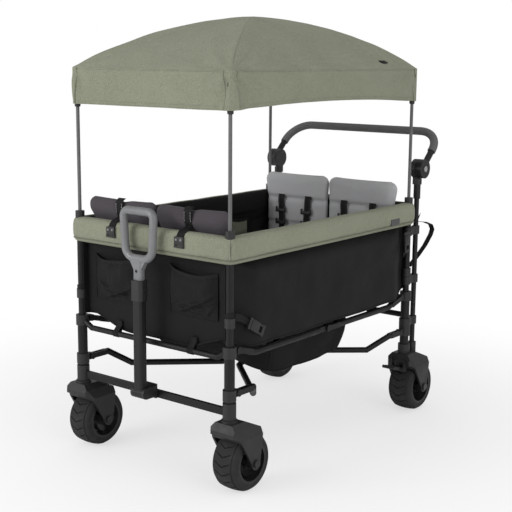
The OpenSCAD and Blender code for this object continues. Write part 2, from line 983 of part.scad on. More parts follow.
module rear_braces() {
    color("dimgray")
        for (s = sides)
            brace(s, rear_y, -1, rear_eye_x, hub_pin_d + 2 * fit);
}

module front_braces() {
    color("dimgray")
        for (s = sides)
            brace(s, front_y, 1, front_eye_x, hub_pin_d + 2 * open_fit);
}

module base_hub() {
    color("black") translate([0, mid_y, brace_pivot_z - fold_drop]) {
        rod_x(hub_pin_d, hub_pin_l);
        cube(hub_block, center = true);
        for (s = sides)
            translate([s * hub_pin_l / 2, 0, 0]) rod_x(head_d, head_h / 2);
    }
}

// Cross-section of the padded rim: depth from the leg axis (outside positive) and height
module rim_section() {
    square_top = rim_h - rim_r;
    translate([-rim_in, 0]) square([rim_in + rim_out, square_top]);
    translate([rim_mid, square_top]) circle(r = rim_r);
    translate([rim_out - piping_r / 2, piping_rise]) circle(r = piping_r);
}

module rim_end(y, dir) {
    w = track + 2 * rim_out;
    difference() {
        intersection() {
            translate([0, y, rim_low]) rotate([0, 0, dir > 0 ? 180 : 0]) rotate([90, 0, 90])
                linear_extrude(w + 2 * piping_r, center = true) rim_section();
            translate([0, y - dir * rim_mid, rim_low - over]) linear_extrude(rim_h + 2 * over)
                rounded_rect(w, rim_in + rim_out + 2 * piping_r, rim_corner_r);
        }
        translate([0, y, rim_bar_z]) rod_x(rim_bar_d + 2 * gap, track);
        for (s = sides)
            translate([s * leg_x, y, rim_low - over]) cylinder(d = socket_d + 2 * gap, h = rim_h + 2 * over);
    }
}

module rim_side(s) {
    l = wheelbase - 2 * (rim_in + piping_r + gap);
    translate([s * leg_x, mid_y, rim_low]) mirror([s < 0 ? 1 : 0, 0, 0]) rotate([90, 0, 0])
        linear_extrude(l, center = true) rim_section();
}

module rim_rear() {
    color("darkseagreen") rim_end(rear_y, -1);
}

module rim_front() {
    color("darkseagreen") rim_end(front_y, 1);
}

module rim_left() {
    color("darkseagreen") rim_side(left);
}

module rim_right() {
    color("darkseagreen") rim_side(right);
}

// End wall of the tub, with a strip of floor turned in at its foot
module tub_end(y, dir) {
    face = y + dir * wall_in;
    translate([-wall_x, min(face, face + dir * wall_t), tub_low])
        cube([2 * wall_x, wall_t, wall_top - tub_low]);
    translate([-wall_x, min(face, face + dir * return_l), tub_low]) cube([2 * wall_x, return_l, wall_t]);
}

module tub_rear_wall() {
    color("black") tub_end(rear_y, -1);
}

module tub_front_wall() {
    color("black") tub_end(front_y, 1);
}

// Long wall of the tub: hung cloth with a belly and soft upright folds
module tub_side(s) {
    l = wheelbase - 2 * (wall_in + gap);
    function bulge(u, v) = belly * (1 - u * u) * (1 - v * v)
        + wall_ripple * (1 - u * u) * (1 - v) / 2 * cos(u * 180 * wall_ripples);
    rings = [for (i = [0 : wall_steps])
        let (u = 2 * i / wall_steps - 1, y = mid_y + u * l / 2)
        concat(
            [for (k = [0 : wall_rows])
                let (v = 2 * k / wall_rows - 1)
                [wall_x + gap + bulge(u, v), y, tub_low + (wall_top - tub_low) * k / wall_rows]],
            [for (k = [wall_rows : -1 : 0])
                let (v = 2 * k / wall_rows - 1)
                [wall_x + gap + wall_t + bulge(u, v), y, tub_low + (wall_top - tub_low) * k / wall_rows]]
        )];
    mirror([s < 0 ? 1 : 0, 0, 0]) loft(rings, thin = true);
}

module tub_left_wall() {
    color("black") tub_side(left);
}

module tub_right_wall() {
    color("black") tub_side(right);
}

// Two gathered patch pockets on the front wall, open at the top
module front_pockets() {
    r = (pocket_w * pocket_w / 4 + pocket_out * pocket_out) / (2 * pocket_out);
    color("black")
        for (s = sides)
            translate([s * pocket_x, front_y + wall_in - gap, pocket_low]) difference() {
                intersection() {
                    translate([0, r - pocket_out, 0]) cylinder(r = r, h = pocket_h);
                    translate([-pocket_w, -pocket_out - over, 0])
                        cube([2 * pocket_w, pocket_out + over, pocket_h]);
                }
                intersection() {
                    translate([0, r - pocket_out, pocket_t]) cylinder(r = r - pocket_t, h = pocket_h);
                    translate([-pocket_w, -pocket_out, 0])
                        cube([2 * pocket_w, pocket_out - pocket_t, pocket_h + 2 * over]);
                }
            }
}

// Bag behind the rear wall, open at the top
module rear_bag() {
    color("black") translate([0, rear_y - wall_in + gap + bag_depth / 2, bag_low]) difference() {
        linear_extrude(bag_h) rounded_rect(bag_w, bag_depth, bag_corner_r);
        translate([0, 0, bag_t]) linear_extrude(bag_h)
            rounded_rect(bag_w - 2 * bag_t, bag_depth - 2 * bag_t, bag_corner_r - bag_t);
    }
}

// Ring of points round a rounded rectangle, from its half sizes and corner share
function oval(hw, hl, power, n) = [for (i = [0 : n - 1])
    let (a = 360 * i / n, c = cos(a), s = sin(a))
    [hw * sign(c) * pow(abs(c), 2 / power), hl * sign(s) * pow(abs(s), 2 / power)]];

// Slack basket under the floor, with its ends cut low for reaching in
module basket() {
    top = rail_z + slat_rise - gap;
    n = 4 * basket_steps;
    edge = oval(basket_w / 2, basket_l / 2, pillow_power, n);
    function edge_z(q) = top
        - basket_dip * pow(abs(q.y) * 2 / basket_l, 4) * (1 - pow(abs(q.x) * 2 / basket_w, 2));
    function ring(share, inset, low) =
        let (
            in = basket_taper * share * share + inset,
            flat = oval(basket_w / 2 - in, basket_l / 2 - in, pillow_power, n)
        )
        [for (i = [0 : n - 1])
            [flat[i].x, flat[i].y + mid_y, low + (edge_z(edge[i]) - low) * (1 - share)]];
    depth_shares = [for (k = [0 : basket_steps / 2]) 2 * k / basket_steps];
    outer = [for (k = [basket_steps / 2 : -1 : 0]) ring(depth_shares[k], 0, basket_low)];
    inner = [for (share = depth_shares) ring(share, basket_t, basket_low + basket_t)];
    color("black") loft(concat(outer, inner));
}

// Padded panel standing on its lower edge: crowned faces, drawn-in sides and one sewn channel
module pillow(w, h, t, channel_at) {
    function edge(v) = pow(1 - pow(abs(v), pillow_power), 1 / pillow_power);
    function channel(v) = 1 - channel_depth_share * exp(-pow((v - channel_at) / channel_width_share, 2));
    rings = [for (i = [0 : pillow_rows])
        let (
            v = -cos(pillow_start + pillow_span * i / pillow_rows),
            narrowing = 1 - pillow_taper_share * pow(abs(v), 2 * pillow_power),
            hw = (w / 2 - pillow_pull * (1 - v * v)) * narrowing,
            ht = t / 2 * edge(v) * channel(v)
        )
        [for (q = oval(hw, ht, pillow_power, pillow_sides)) [q.x, q.y, h / 2 * (1 + v)]]];
    loft(rings);
}

module seat_backs(y, dir, top) {
    for (s = sides)
        translate([s * (back_w + seat_pair_gap) / 2, y + dir * (rim_in + gap + back_t / 2), back_low])
            pillow(back_w, top - back_low, back_t, back_channel_share);
}

module rear_seat_backs() {
    color("darkgray") seat_backs(rear_y, -1, rear_back_top);
}

module front_seat_backs() {
    color("dimgray") seat_backs(front_y, 1, front_back_top);
}

module seat_cushion(dir) {
    low = rail_z + slat_rise + slat_t + board_t + gap;
    y = mid_y - dir * (board_gap + gap);
    translate([0, y, low + seat_t / 2]) rotate([dir > 0 ? 90 : -90, 0, 0])
        pillow(cushion_w, cushion_l, seat_t, 0);
}

module rear_seat_cushion() {
    color("darkgray") seat_cushion(-1);
}

module front_seat_cushion() {
    color("dimgray") seat_cushion(1);
}

module pole_pair(y) {
    for (s = sides)
        translate([s * leg_x, y, 0])
            tube(pole_d, leg_top + socket_web + fit, canopy_seam - cap_low + cap_bore);
}

module rear_poles() {
    color("gray") pole_pair(rear_y);
}

module front_poles() {
    color("gray") pole_pair(front_y);
}

// Height of a hip rod's axis at a level distance h from its corner
function hip_z(h) = hip_centre.y + sqrt(hip_r * hip_r - pow(h - hip_centre.x, 2));

// One bowed hip rod, from the corner at signs sx, sy to the crown
module hip_rod(sx, sy, d) {
    way = [-sx * leg_x, -sy * half_base] / hip_run;
    a0 = atan2(rod_z0 - hip_centre.y, -hip_centre.x);
    a1 = atan2(rod_z1 - hip_centre.y, hip_run - hip_centre.x);
    foot = [sx * leg_x, mid_y + sy * half_base] + way * hip_centre.x;
    multmatrix([[way.x, 0, way.y, foot.x], [way.y, 0, -way.x, foot.y], [0, 1, 0, hip_centre.y]])
        rotate([0, 0, a1]) rotate_extrude(angle = a0 - a1, $fn = 360)
            translate([hip_r, 0]) circle(d = d, $fn = 48);
}

module hip_rods() {
    color("gray")
        for (sx = sides, sy = sides)
            difference() {
                hip_rod(sx, sy, rod_d);
                translate([0, mid_y, rod_z1 - crown_h]) cylinder(d = crown_d + 2 * fit, h = 2 * crown_h);
                translate([sx * leg_x, mid_y + sy * half_base, 0])
                    cylinder(d = cap_d + 2 * fit, h = canopy_top);
            }
    color("black") translate([0, mid_y, rod_z1 + crown_up - crown_h]) cylinder(d = crown_d, h = crown_h);
}

// Moulded corner cap on a pole, which the hip rod runs into
module canopy_caps(y) {
    low = canopy_seam - cap_low;
    color("black")
        for (s = sides)
            translate([s * leg_x, y, 0]) difference() {
                translate([0, 0, low]) cylinder(d = cap_d, h = rod_z0 + cap_up - low);
                translate([0, 0, low - over]) cylinder(d = pole_d + 2 * fit, h = cap_bore + over + fit);
            }
}

module rear_canopy_caps() {
    canopy_caps(rear_y);
}

module front_canopy_caps() {
    canopy_caps(front_y);
}

// One continuous sheet: a vertical valance, then four panels that sag between the bowed hips
module canopy() {
    n = canopy_side_steps;
    hw = leg_x + canopy_over;
    hl = half_base + canopy_over;
    // Places round the edge as shares of the half sizes, with the place along its own side
    edge_shares = concat(
        [for (i = [0 : n - 1]) [1, 2 * i / n - 1, 2 * i / n - 1, 1]],
        [for (i = [0 : n - 1]) [1 - 2 * i / n, 1, 2 * i / n - 1, 0]],
        [for (i = [0 : n - 1]) [-1, 1 - 2 * i / n, 2 * i / n - 1, 1]],
        [for (i = [0 : n - 1]) [2 * i / n - 1, -1, 2 * i / n - 1, 0]]
    );
    function place(e, w, l, z) = [e.x * w, mid_y + e.y * l, z];
    function low_z(e) = canopy_low + valance_arch * e[3] * (1 - e.z * e.z);
    function valance(t, inset) = [for (e = edge_shares)
        place(e, hw - inset + valance_flare * t, hl - inset + valance_flare * t,
            low_z(e) * t + (roof_z(0, e) - inset) * (1 - t))];
    function roof_z(t, e) = hip_z(max(0, hip_run - (1 - t) * norm([hw, hl]))) + rod_lift
        - panel_sag * (1 - e.z * e.z) * 4 * t * (1 - t);
    function roof(t, inset) = [for (e = edge_shares)
        let (plan_t = 1 - (1 - t) * (hw - inset) / hw)
        place(e, (hw - inset) * (1 - t), (hl - inset) * (1 - t), roof_z(plan_t, e) - inset)];
    ring_shares = [for (i = [0 : canopy_rings]) (1 - canopy_eye_share) * i / canopy_rings];
    outer = concat(
        [for (i = [canopy_rings : -1 : 0]) roof(ring_shares[i], 0)],
        [valance(valance_mid_share, 0), valance(1, 0)]
    );
    inner = concat(
        [valance(1, canopy_t), valance(valance_mid_share, canopy_t)],
        [for (t = ring_shares) roof(t, canopy_t)]
    );
    color("darkseagreen") loft(concat(outer, inner));
}

// Figure-of-eight guides that hold the handle posts to the rear legs
module post_guides() {
    color("black")
        for (s = sides, z = guide_zs)
            translate([s * leg_x, rear_y, z - guide_h / 2]) {
                held_d = z < rail_pivot_z ? leg_d : upper_d;
                difference() {
                    union() {
                        cylinder(d = held_d + 2 * guide_wall, h = guide_h);
                        translate([0, post_out, 0]) cylinder(d = post_d + 2 * guide_wall, h = guide_h);
                        translate([-guide_web / 2, 0, 0]) cube([guide_web, post_out, guide_h]);
                    }
                    translate([0, 0, -over]) cylinder(d = held_d + 2 * fit, h = guide_h + 2 * over);
                    translate([0, post_out, -over]) cylinder(d = post_d + 2 * fit, h = guide_h + 2 * over);
                }
            }
}

module handle_risers() {
    color("dimgray")
        for (s = sides)
            translate([s * leg_x, rear_y + post_out, 0]) difference() {
                union() {
                    translate([0, 0, post_low + gap]) cylinder(d = post_d, h = sleeve_top - post_low - gap);
                    translate([0, 0, sleeve_top - sleeve_l]) cylinder(d = sleeve_d, h = sleeve_l);
                }
                translate([0, 0, post_low])
                    cylinder(d = post_d - 2 * tube_wall, h = sleeve_top - post_low + over);
            }
}

// Fixed half of a tilt joint, on top of a riser
module joint_hubs() {
    color("black")
        for (s = sides)
            translate([s * leg_x, rear_y + post_out, joint_z]) mirror([s < 0 ? 1 : 0, 0, 0]) difference() {
                union() {
                    translate([(fixed_out - fixed_in) / 2, 0, 0]) rod_x(joint_d, fixed_in + fixed_out);
                    translate([fixed_out + (spigot_l - over) / 2, 0, 0]) rod_x(spigot_d, spigot_l + over);
                    translate([0, 0, sleeve_top - joint_z - neck_l]) cylinder(d = neck_d, h = neck_l);
                    translate([-fixed_in, -sleeve_d / 2, sleeve_top - joint_z - neck_l])
                        cube([fixed_in + fixed_out, sleeve_d, neck_l + joint_d / 4]);
                }
                translate([0, 0, sleeve_top - joint_z - neck_l - over])
                    cylinder(d = sleeve_d + 2 * fit, h = neck_l + over + fit);
            }
}

joint_mid = [0, rear_y + post_out, joint_z];

// Points of the handle tube, from a start distance along one arm round to the other
function bar_points(start) = [
    [bar_x, 0, start], [bar_x, 0, bar_l], [-bar_x, 0, bar_l], [-bar_x, 0, start],
];

// Puts a piece drawn with upright arms at the joint and the arms' slope
module arm_place() {
    translate(joint_mid) rotate([arm_slope - 90, 0, 0]) children();
}

module push_bar() {
    color("black") difference() {
        union() {
            arm_place() bent_rod(bar_points(bar_start), bar_bend, bar_d);
            for (s = sides)
                translate(joint_mid + [s * bar_x, 0, 0]) rod_x(joint_d, moving_t);
        }
        for (s = sides) {
            translate(joint_mid + [s * bar_x, 0, 0]) rod_x(button_d + 2 * fit, moving_t + 2 * over);
            translate(joint_mid + [s * (bar_x - moving_t / 2 + spigot_l / 2), 0, 0])
                rod_x(spigot_d + 2 * fit, spigot_l + gap);
        }
    }
}

module push_grip() {
    color("gray") arm_place() difference() {
        bent_rod(bar_points(foam_start), bar_bend, foam_d);
        bent_rod(bar_points(bar_start), bar_bend, bar_d + 2 * fit);
    }
}

module joint_button(side) {
    outer = moving_in + moving_t + button_rise;
    inner = fixed_out + button_seat;
    translate(joint_mid + [side * (leg_x + (inner + outer) / 2), 0, 0]) rod_x(button_d, outer - inner);
}

module joint_button_left() {
    color("silver") joint_button(left);
}

module joint_button_right() {
    color("silver") joint_button(right);
}

pull_y = front_y - pull_out;
pull_pivot = [0, pull_y, pull_pivot_z];
pull_eye_w = pull_w + 2 * pull_ear_gap;

// Bracket on the front bar, with two ears and the pull handle's pin
module pull_bracket() {
    ear_x = pull_eye_w / 2 + gap + pull_ear_t / 2;
    back = pull_out - crossbar_t / 2;
    color("black") {
        translate([0, front_y - (crossbar_t + pull_plate_t) / 2, pull_pivot_z])
            cube([2 * ear_x + pull_ear_t, pull_plate_t, pull_plate_h], center = true);
        for (s = sides)
            translate(pull_pivot + [s * ear_x, 0, 0])
                plate_x(pull_ear_t) eye_outline(pull_eye_d / 2, back - over, pull_eye_d);
        translate(pull_pivot) rod_x(pull_pin_d, 2 * ear_x);
    }
}

module pull_tube() {
    height = pull_tube_top - pull_pivot_z;
    color("black") translate(pull_pivot) difference() {
        union() {
            rod_x(pull_eye_d, pull_eye_w);
            linear_extrude(height) rounded_rect(pull_w, pull_depth, pull_corner_r);
        }
        rod_x(pull_pin_d + 2 * fit, pull_eye_w + 2 * over);
        translate([0, 0, pull_eye_d / 2]) cylinder(d = rod_pull_d + 2 * fit, h = height);
    }
}

// Locking collar at the top of the pull tube, with a seat for its button
module pull_collar() {
    w = pull_w + 2 * pull_collar_wall;
    depth = pull_depth + 2 * pull_collar_wall;
    low = pull_tube_top - pull_collar_lap;
    color("black") translate([0, pull_y, 0]) difference() {
        translate([0, 0, low]) linear_extrude(pull_collar_h)
            rounded_rect(w, depth, pull_corner_r + pull_collar_wall);
        translate([0, 0, low - over]) linear_extrude(pull_collar_lap + over + fit)
            rounded_rect(pull_w + 2 * fit, pull_depth + 2 * fit, pull_corner_r);
        translate([0, 0, low]) cylinder(d = rod_pull_d + 2 * fit, h = pull_collar_h + over);
        translate([w / 2, 0, pull_button_z]) rod_x(pull_button_d + 2 * fit, w);
    }
}

function mirror_x(q) = [-q.x, q.y, q.z];

// Sliding rod with a neck and a D-shaped grip
module pull_grip() {
    neck_low = pull_tube_top - pull_collar_lap + pull_collar_h + gap;
    neck_top = neck_low + pull_neck_h;
    top = [(loop_w - loop_d) / 2, 0, neck_top + loop_h - loop_d / 2];
    low = [top.x * loop_taper_share, 0, neck_top + loop_h * loop_low_share];
    waist = (top + low) / 2;
    throat_low = [pull_neck_w / 2 - throat_in, neck_top - throat_h];
    color("gray") translate([0, pull_y, 0]) {
        translate([0, 0, neck_low + over - rod_pull_l]) cylinder(d = rod_pull_d, h = rod_pull_l);
        translate([0, 0, neck_low]) linear_extrude(low.z - neck_low)
            rounded_rect(pull_neck_w, pull_neck_depth, pull_corner_r);
        rotate([90, 0, 0]) linear_extrude(throat_t, center = true)
            polygon([[-throat_low.x, throat_low.y], throat_low, [throat_w / 2, low.z], [-throat_w / 2, low.z]]);
        bent_rod([mirror_x(waist), mirror_x(top), top, waist], loop_bend, loop_d);
        bent_rod([mirror_x(waist), mirror_x(low), low, waist], loop_low_bend, loop_d);
        for (side = [waist, mirror_x(waist)])
            translate(side) sphere(d = loop_d + bead);
    }
}

module pull_button() {
    outer = pull_w / 2 + pull_collar_wall + pull_button_in;
    color("gray") translate([outer - pull_button_l / 2, pull_y, pull_button_z])
        rod_x(pull_button_d, pull_button_l);
}

rear_legs();
rear_leg_fittings();
rear_crossbars();
rear_housings();
rear_axles();
rear_poles();
rear_canopy_caps();
post_guides();
tub_rear_wall();
rim_rear();
rear_bag();
rear_seat_backs();
canopy();
hip_rods();
tub_left_wall();
tub_right_wall();
rim_left();
rim_right();
front_legs();
front_leg_fittings();
front_crossbars();
front_poles();
front_canopy_caps();
tub_front_wall();
rim_front();
front_seat_backs();
front_pockets();
pull_bracket();
rear_floor_frame();
rear_floor_board();
rear_seat_cushion();
front_floor_frame();
front_floor_board();
front_seat_cushion();
rear_braces();
front_braces();
base_hub();
basket();
caster_left();
caster_right();
front_tyre_left();
front_tyre_right();
rear_tyre_left();
rear_tyre_right();
front_rim_left();
front_rim_right();
rear_rim_left();
rear_rim_right();
brake_pedal_left();
brake_pedal_right();
handle_risers();
joint_hubs();
push_bar();
push_grip();
joint_button_left();
joint_button_right();
pull_tube();
pull_grip();
pull_button();
pull_collar();
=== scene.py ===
import math

import bpy
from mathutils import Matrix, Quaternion, Vector, noise


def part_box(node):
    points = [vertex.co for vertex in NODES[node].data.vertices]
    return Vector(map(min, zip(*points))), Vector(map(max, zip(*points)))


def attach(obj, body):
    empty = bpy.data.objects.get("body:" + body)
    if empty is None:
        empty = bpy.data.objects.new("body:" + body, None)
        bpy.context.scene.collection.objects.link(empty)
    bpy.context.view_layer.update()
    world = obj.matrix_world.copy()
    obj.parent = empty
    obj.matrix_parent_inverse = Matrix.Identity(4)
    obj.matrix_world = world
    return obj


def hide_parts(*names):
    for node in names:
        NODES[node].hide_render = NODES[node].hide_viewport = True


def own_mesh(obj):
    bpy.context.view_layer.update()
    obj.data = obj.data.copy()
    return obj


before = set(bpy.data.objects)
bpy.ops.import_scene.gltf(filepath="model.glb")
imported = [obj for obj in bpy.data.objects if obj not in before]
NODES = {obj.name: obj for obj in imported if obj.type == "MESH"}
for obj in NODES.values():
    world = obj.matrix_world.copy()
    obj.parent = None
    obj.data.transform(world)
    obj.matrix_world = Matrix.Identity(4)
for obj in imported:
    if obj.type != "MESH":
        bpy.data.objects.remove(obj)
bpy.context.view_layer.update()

# Directions and places in the frame, in metres
X, Y, Z = Vector((1, 0, 0)), Vector((0, 1, 0)), Vector((0, 0, 1))
LEFT, RIGHT = 1, -1
SIDES = ((LEFT, "left"), (RIGHT, "right"))
POLE_R = 0.005
LEG_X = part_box("rear_poles")[1].x - POLE_R
REAR = sum(p.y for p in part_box("rear_poles")) / 2
FRONT = sum(p.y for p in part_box("front_poles")) / 2
MID = (REAR + FRONT) / 2
RIM_LOW, RIM_TOP = (p.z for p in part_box("rim_left"))
TUB_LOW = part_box("tub_left_wall")[0].z

# Spacing of the end frames when folded, as a share of their spacing at rest
FOLD_KEEP = 0.357
# Height of the point that most soft pieces flatten towards
FOLD_Z = 0.6


def fold(keep=FOLD_KEEP, y=REAR, z=FOLD_Z, axis=Y):
    """How a soft piece flattens as the wagon folds: along axis, towards the point at y and z."""
    return {"joint": "floor_fold", "axis": axis, "anchor": (0, y, z), "keep": keep}


# Small helpers

def ramp(x, a, b):
    """0 before a, 1 after b, smooth between."""
    t = max(0.0, min(1.0, (x - a) / (b - a)))
    return t * t * (3 - 2 * t)


def bell(x, width):
    return math.exp(-(x / width) ** 2)


def wave(x, y, z, scale):
    """Soft random height from -1 to 1, the same in each run."""
    return noise.noise(Vector((x, y, z)) * scale)


def steps(n, a=0.0, b=1.0):
    return [a + (b - a) * i / (n - 1) for i in range(n)]


def spread(n):
    """Values from -1 to 1, closer together near the ends."""
    return [u * (1.5 - 0.5 * u * u) for u in steps(n, -1, 1)]


def end_ramp(a, start, full):
    """0 at both ends of a length that a follows from 0 to 1, and 1 from full inwards."""
    return ramp(min(a, 1 - a), start, full)


def rounded_rect(w, h, r, n=6):
    """Points round a rectangle with round corners."""
    loop = []
    for k, (sx, sy) in enumerate(((1, 1), (-1, 1), (-1, -1), (1, -1))):
        for i in range(n + 1):
            a = math.pi / 2 * (k + i / n)
            loop.append((sx * (w / 2 - r) + r * math.cos(a), sy * (h / 2 - r) + r * math.sin(a)))
    return loop


# Section of a strap in half widths and half thicknesses, with its edges rounded
STRAP_SECTION = ((-1, -0.4), (-0.94, -1), (0.94, -1), (1, -0.4), (1, 0.4), (0.94, 1), (-0.94, 1), (-1, 0.4))
STRAP_THICK, WEB_THICK = 0.0016, 0.0018
PATCH_THICK = 0.0012
# Rounding of a clip's edges
CLIP_EDGE = 0.0014


class Piece:
    """Collects the faces of one piece, each with its finish, and makes its mesh."""

    def __init__(self, name):
        self.name, self.verts, self.faces, self.finish = name, [], [], []

    def grid(self, rows, finish=0, wrap=False):
        base, n = len(self.verts), len(rows[0])
        for row in rows:
            self.verts.extend(row)
        for i in range(len(rows) - 1):
            near, far = base + i * n, base + (i + 1) * n
            for j in range(n if wrap else n - 1):
                k = (j + 1) % n
                self.faces.append((near + j, near + k, far + k, far + j))
                self.finish.append(finish(i, j) if callable(finish) else finish)
        return base

    def loft(self, rings, finish=0, caps=True):
        base, n = self.grid(rings, finish, wrap=True), len(rings[0])
        if caps:
            last = base + (len(rings) - 1) * n
            self.faces += [tuple(range(base + n - 1, base - 1, -1)), tuple(range(last, last + n))]
            self.finish += [finish(0, 0) if callable(finish) else finish] * 2

    def tube(self, points, radius, finish=0, sides=8, closed=False):
        """A round cord along the points."""
        points = [Vector(p) for p in points]
        rings, side = [], None
        for i, p in enumerate(points):
            back = points[i - 1] if i or closed else p
            ahead = points[(i + 1) % len(points)] if i < len(points) - 1 or closed else p
            along = (ahead - back).normalized()
            if side is None:
                side = along.orthogonal().normalized()
            side = (side - along * side.dot(along)).normalized()
            rings.append(circle(p, side, along.cross(side), radius, sides))
        if closed:
            rings.append(rings[0])
        self.loft(rings, finish, caps=not closed)

    def strap(self, points, across, width, thick=STRAP_THICK, finish=0):
        """A flat strap along the points, its width along across."""
        points, rings = [Vector(p) for p in points], []
        across = Vector(across).normalized()
        for i, p in enumerate(points):
            along = (points[min(i + 1, len(points) - 1)] - points[max(i - 1, 0)]).normalized()
            up = along.cross(across).normalized()
            rings.append([p + across * (x * width / 2) + up * (y * thick / 2) for x, y in STRAP_SECTION])
        self.loft(rings, finish)

    def block(self, centre, size, edge=0.0012, finish=0, axes=(X, Y, Z)):
        """A bar with rounded edges, its size along its three axes."""
        centre = Vector(centre)
        x, y, z = axes
        w, d, h = size
        soft = edge * 0.3
        levels = ((edge, 0), (soft, soft), (0, edge), (0, h - edge), (soft, h - soft), (edge, h))
        rings = []
        for inset, lift in levels:
            r = max(max(min(w, d) * 0.18, edge) - inset * 0.5, 0.0002)
            rings.append([centre + x * a + y * b + z * (lift - h / 2)
                          for a, b in rounded_rect(w - 2 * inset, d - 2 * inset, r, 3)])
        self.loft(rings, finish)

    def lathe(self, centre, axis, profile, finish=0, sides=28):
        """A turned shape: profile is (radius, distance along axis)."""
        centre, axis = Vector(centre), Vector(axis).normalized()
        side = axis.orthogonal().normalized()
        other = axis.cross(side)
        self.loft([circle(centre + axis * h, side, other, r, sides) for r, h in profile], finish)

    def make(self, materials, sharp=40):
        mesh = bpy.data.meshes.new(self.name)
        mesh.from_pydata([tuple(v) for v in self.verts], [], self.faces)
        for m in materials:
            mesh.materials.append(m)
        mesh.polygons.foreach_set("material_index", self.finish)
        mesh.validate()
        mesh.shade_smooth()
        mesh.set_sharp_from_angle(angle=math.radians(sharp))
        obj = bpy.data.objects.new(self.name, mesh)
        bpy.context.scene.collection.objects.link(obj)
        return obj


def circle(centre, side, other, radius, sides):
    turns = (2 * math.pi * k / sides for k in range(sides))
    return [centre + (side * math.cos(a) + other * math.sin(a)) * radius for a in turns]


def settle(obj):
    """Turns the modifiers into the piece's own mesh."""
    bpy.context.view_layer.update()
    mesh = bpy.data.meshes.new_from_object(obj.evaluated_get(bpy.context.evaluated_depsgraph_get()))
    obj.modifiers.clear()
    old, obj.data = obj.data, mesh
    bpy.data.meshes.remove(old)


def subdivide(obj):
    sub = obj.modifiers.new("smooth", "SUBSURF")
    sub.levels = sub.render_levels = 1


def thicken(obj, thick, rounded=True):
    if rounded:
        subdivide(obj)
    solid = obj.modifiers.new("thickness", "SOLIDIFY")
    solid.thickness, solid.offset = thick, 0
    settle(obj)


def place(obj, body, nodes=(), squash=None):
    """Puts a piece on its body, in the place of the CAD nodes, which it hides. With a squash, the piece gets its own
    mesh.
    """
    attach(obj, body)
    if nodes:
        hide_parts(*nodes)
    if squash:
        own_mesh(obj)
    return obj


def grid_of(us, vs, point):
    """Rows of points, from a function of u along a row and v from row to row."""
    return [[point(u, v) for u in us] for v in vs]


def sew(name, grids, finish, thick, body, nodes=(), squash=None, sharp=60, wrap=False):
    """Makes a sheet of grids of points. Gives the sheet, and its area before it has a thickness."""
    piece = Piece(name)
    for rows in grids:
        piece.grid(rows, wrap=wrap)
    cover = piece.make([finish], sharp)
    area = sum(p.area for p in cover.data.polygons)
    thicken(cover, thick)
    return place(cover, body, nodes, squash), area


def patch(name, rows, finish, squash):
    """A small flat piece of cloth on the rear frame's covers."""
    piece = Piece(name)
    piece.grid(rows)
    obj = piece.make([finish])
    thicken(obj, PATCH_THICK, False)
    return place(obj, "rear_frame", (), squash)


# Finishes

def group(name, size, outputs):
    """A node group with one number as its input, and numbers as its outputs."""
    tree = bpy.data.node_groups.new(name, "ShaderNodeTree")
    label, value = size
    tree.interface.new_socket(label, in_out="INPUT", socket_type="NodeSocketFloat").default_value = value
    for label in outputs:
        tree.interface.new_socket(label, in_out="OUTPUT", socket_type="NodeSocketFloat")
    return Nodes(tree), tree.nodes.new("NodeGroupInput").outputs[0], tree.nodes.new("NodeGroupOutput").inputs


class Nodes:
    """Short forms for adding shader nodes to one tree."""

    def __init__(self, tree):
        self.tree = tree

    def add(self, kind, **values):
        node = self.tree.nodes.new(kind)
        for key, value in values.items():
            setattr(node, key, value)
        return node

    def link(self, a, b):
        self.tree.links.new(a, b)

    def put(self, sockets, values):
        for socket, value in zip(sockets, values):
            if isinstance(value, bpy.types.NodeSocket):
                self.link(value, socket)
            else:
                socket.default_value = value

    def where(self):
        return self.add("ShaderNodeTexCoord").outputs["Object"]

    def normal(self):
        return self.add("ShaderNodeNewGeometry").outputs["Normal"]

    def parts(self, vector):
        node = self.add("ShaderNodeSeparateXYZ")
        self.link(vector, node.inputs[0])
        return node.outputs

    def math(self, op, *values):
        node = self.add("ShaderNodeMath", operation=op)
        self.put(node.inputs, values)
        return node.outputs[0]

    def times(self, a, b):
        return self.math("MULTIPLY", a, b)

    def vector(self, op, *values):
        node = self.add("ShaderNodeVectorMath", operation=op)
        self.put(node.inputs, values)
        return node.outputs["Value" if op == "LENGTH" else "Vector"]

    def noise(self, where, scale, detail=2.0, rough=0.5):
        node = self.add("ShaderNodeTexNoise")
        self.put([node.inputs[k] for k in ("Vector", "Scale", "Detail", "Roughness")], (where, scale, detail, rough))
        return node.outputs["Fac"]

    def span(self, value, a, b, low=0.0, high=1.0):
        node = self.add("ShaderNodeMapRange", interpolation_type="SMOOTHSTEP")
        self.put(node.inputs, (value, a, b, low, high))
        return node.outputs[0]

    def mix(self, fac, a, b):
        node = self.add("ShaderNodeMix", data_type="RGBA")
        self.put((node.inputs[0], node.inputs[6], node.inputs[7]), (fac, a, b))
        return node.outputs[2]


def weave_group():
    """Threads over and under on the face that shows, and the flecks of a mixed yarn."""
    n, threads, out = group("woven cloth", ("Threads", 900.0), ("Height", "Fleck", "Shade"))
    where = n.where()
    swing = n.parts(n.vector("SINE", n.vector("MULTIPLY", where, n.times(threads, math.pi))))
    facing = n.parts(n.vector("ABSOLUTE", n.normal()))
    total = None
    for a, b, f in ((0, 1, 2), (1, 2, 0), (0, 2, 1)):
        one = n.times(n.times(swing[a], swing[b]), facing[f])
        total = one if total is None else n.math("ADD", total, one)
    n.link(n.math("MULTIPLY_ADD", total, 0.5, 0.5), out["Height"])
    along = n.vector("MULTIPLY", where, (1.0, 1.0, 2.2))
    fleck = n.noise(along, n.times(threads, 0.75), 2.0, 0.6)
    n.link(n.span(fleck, 0.36, 0.64), out["Fleck"])
    n.link(n.span(n.noise(where, 7.0, 3.0), 0.3, 0.7), out["Shade"])
    return n.tree


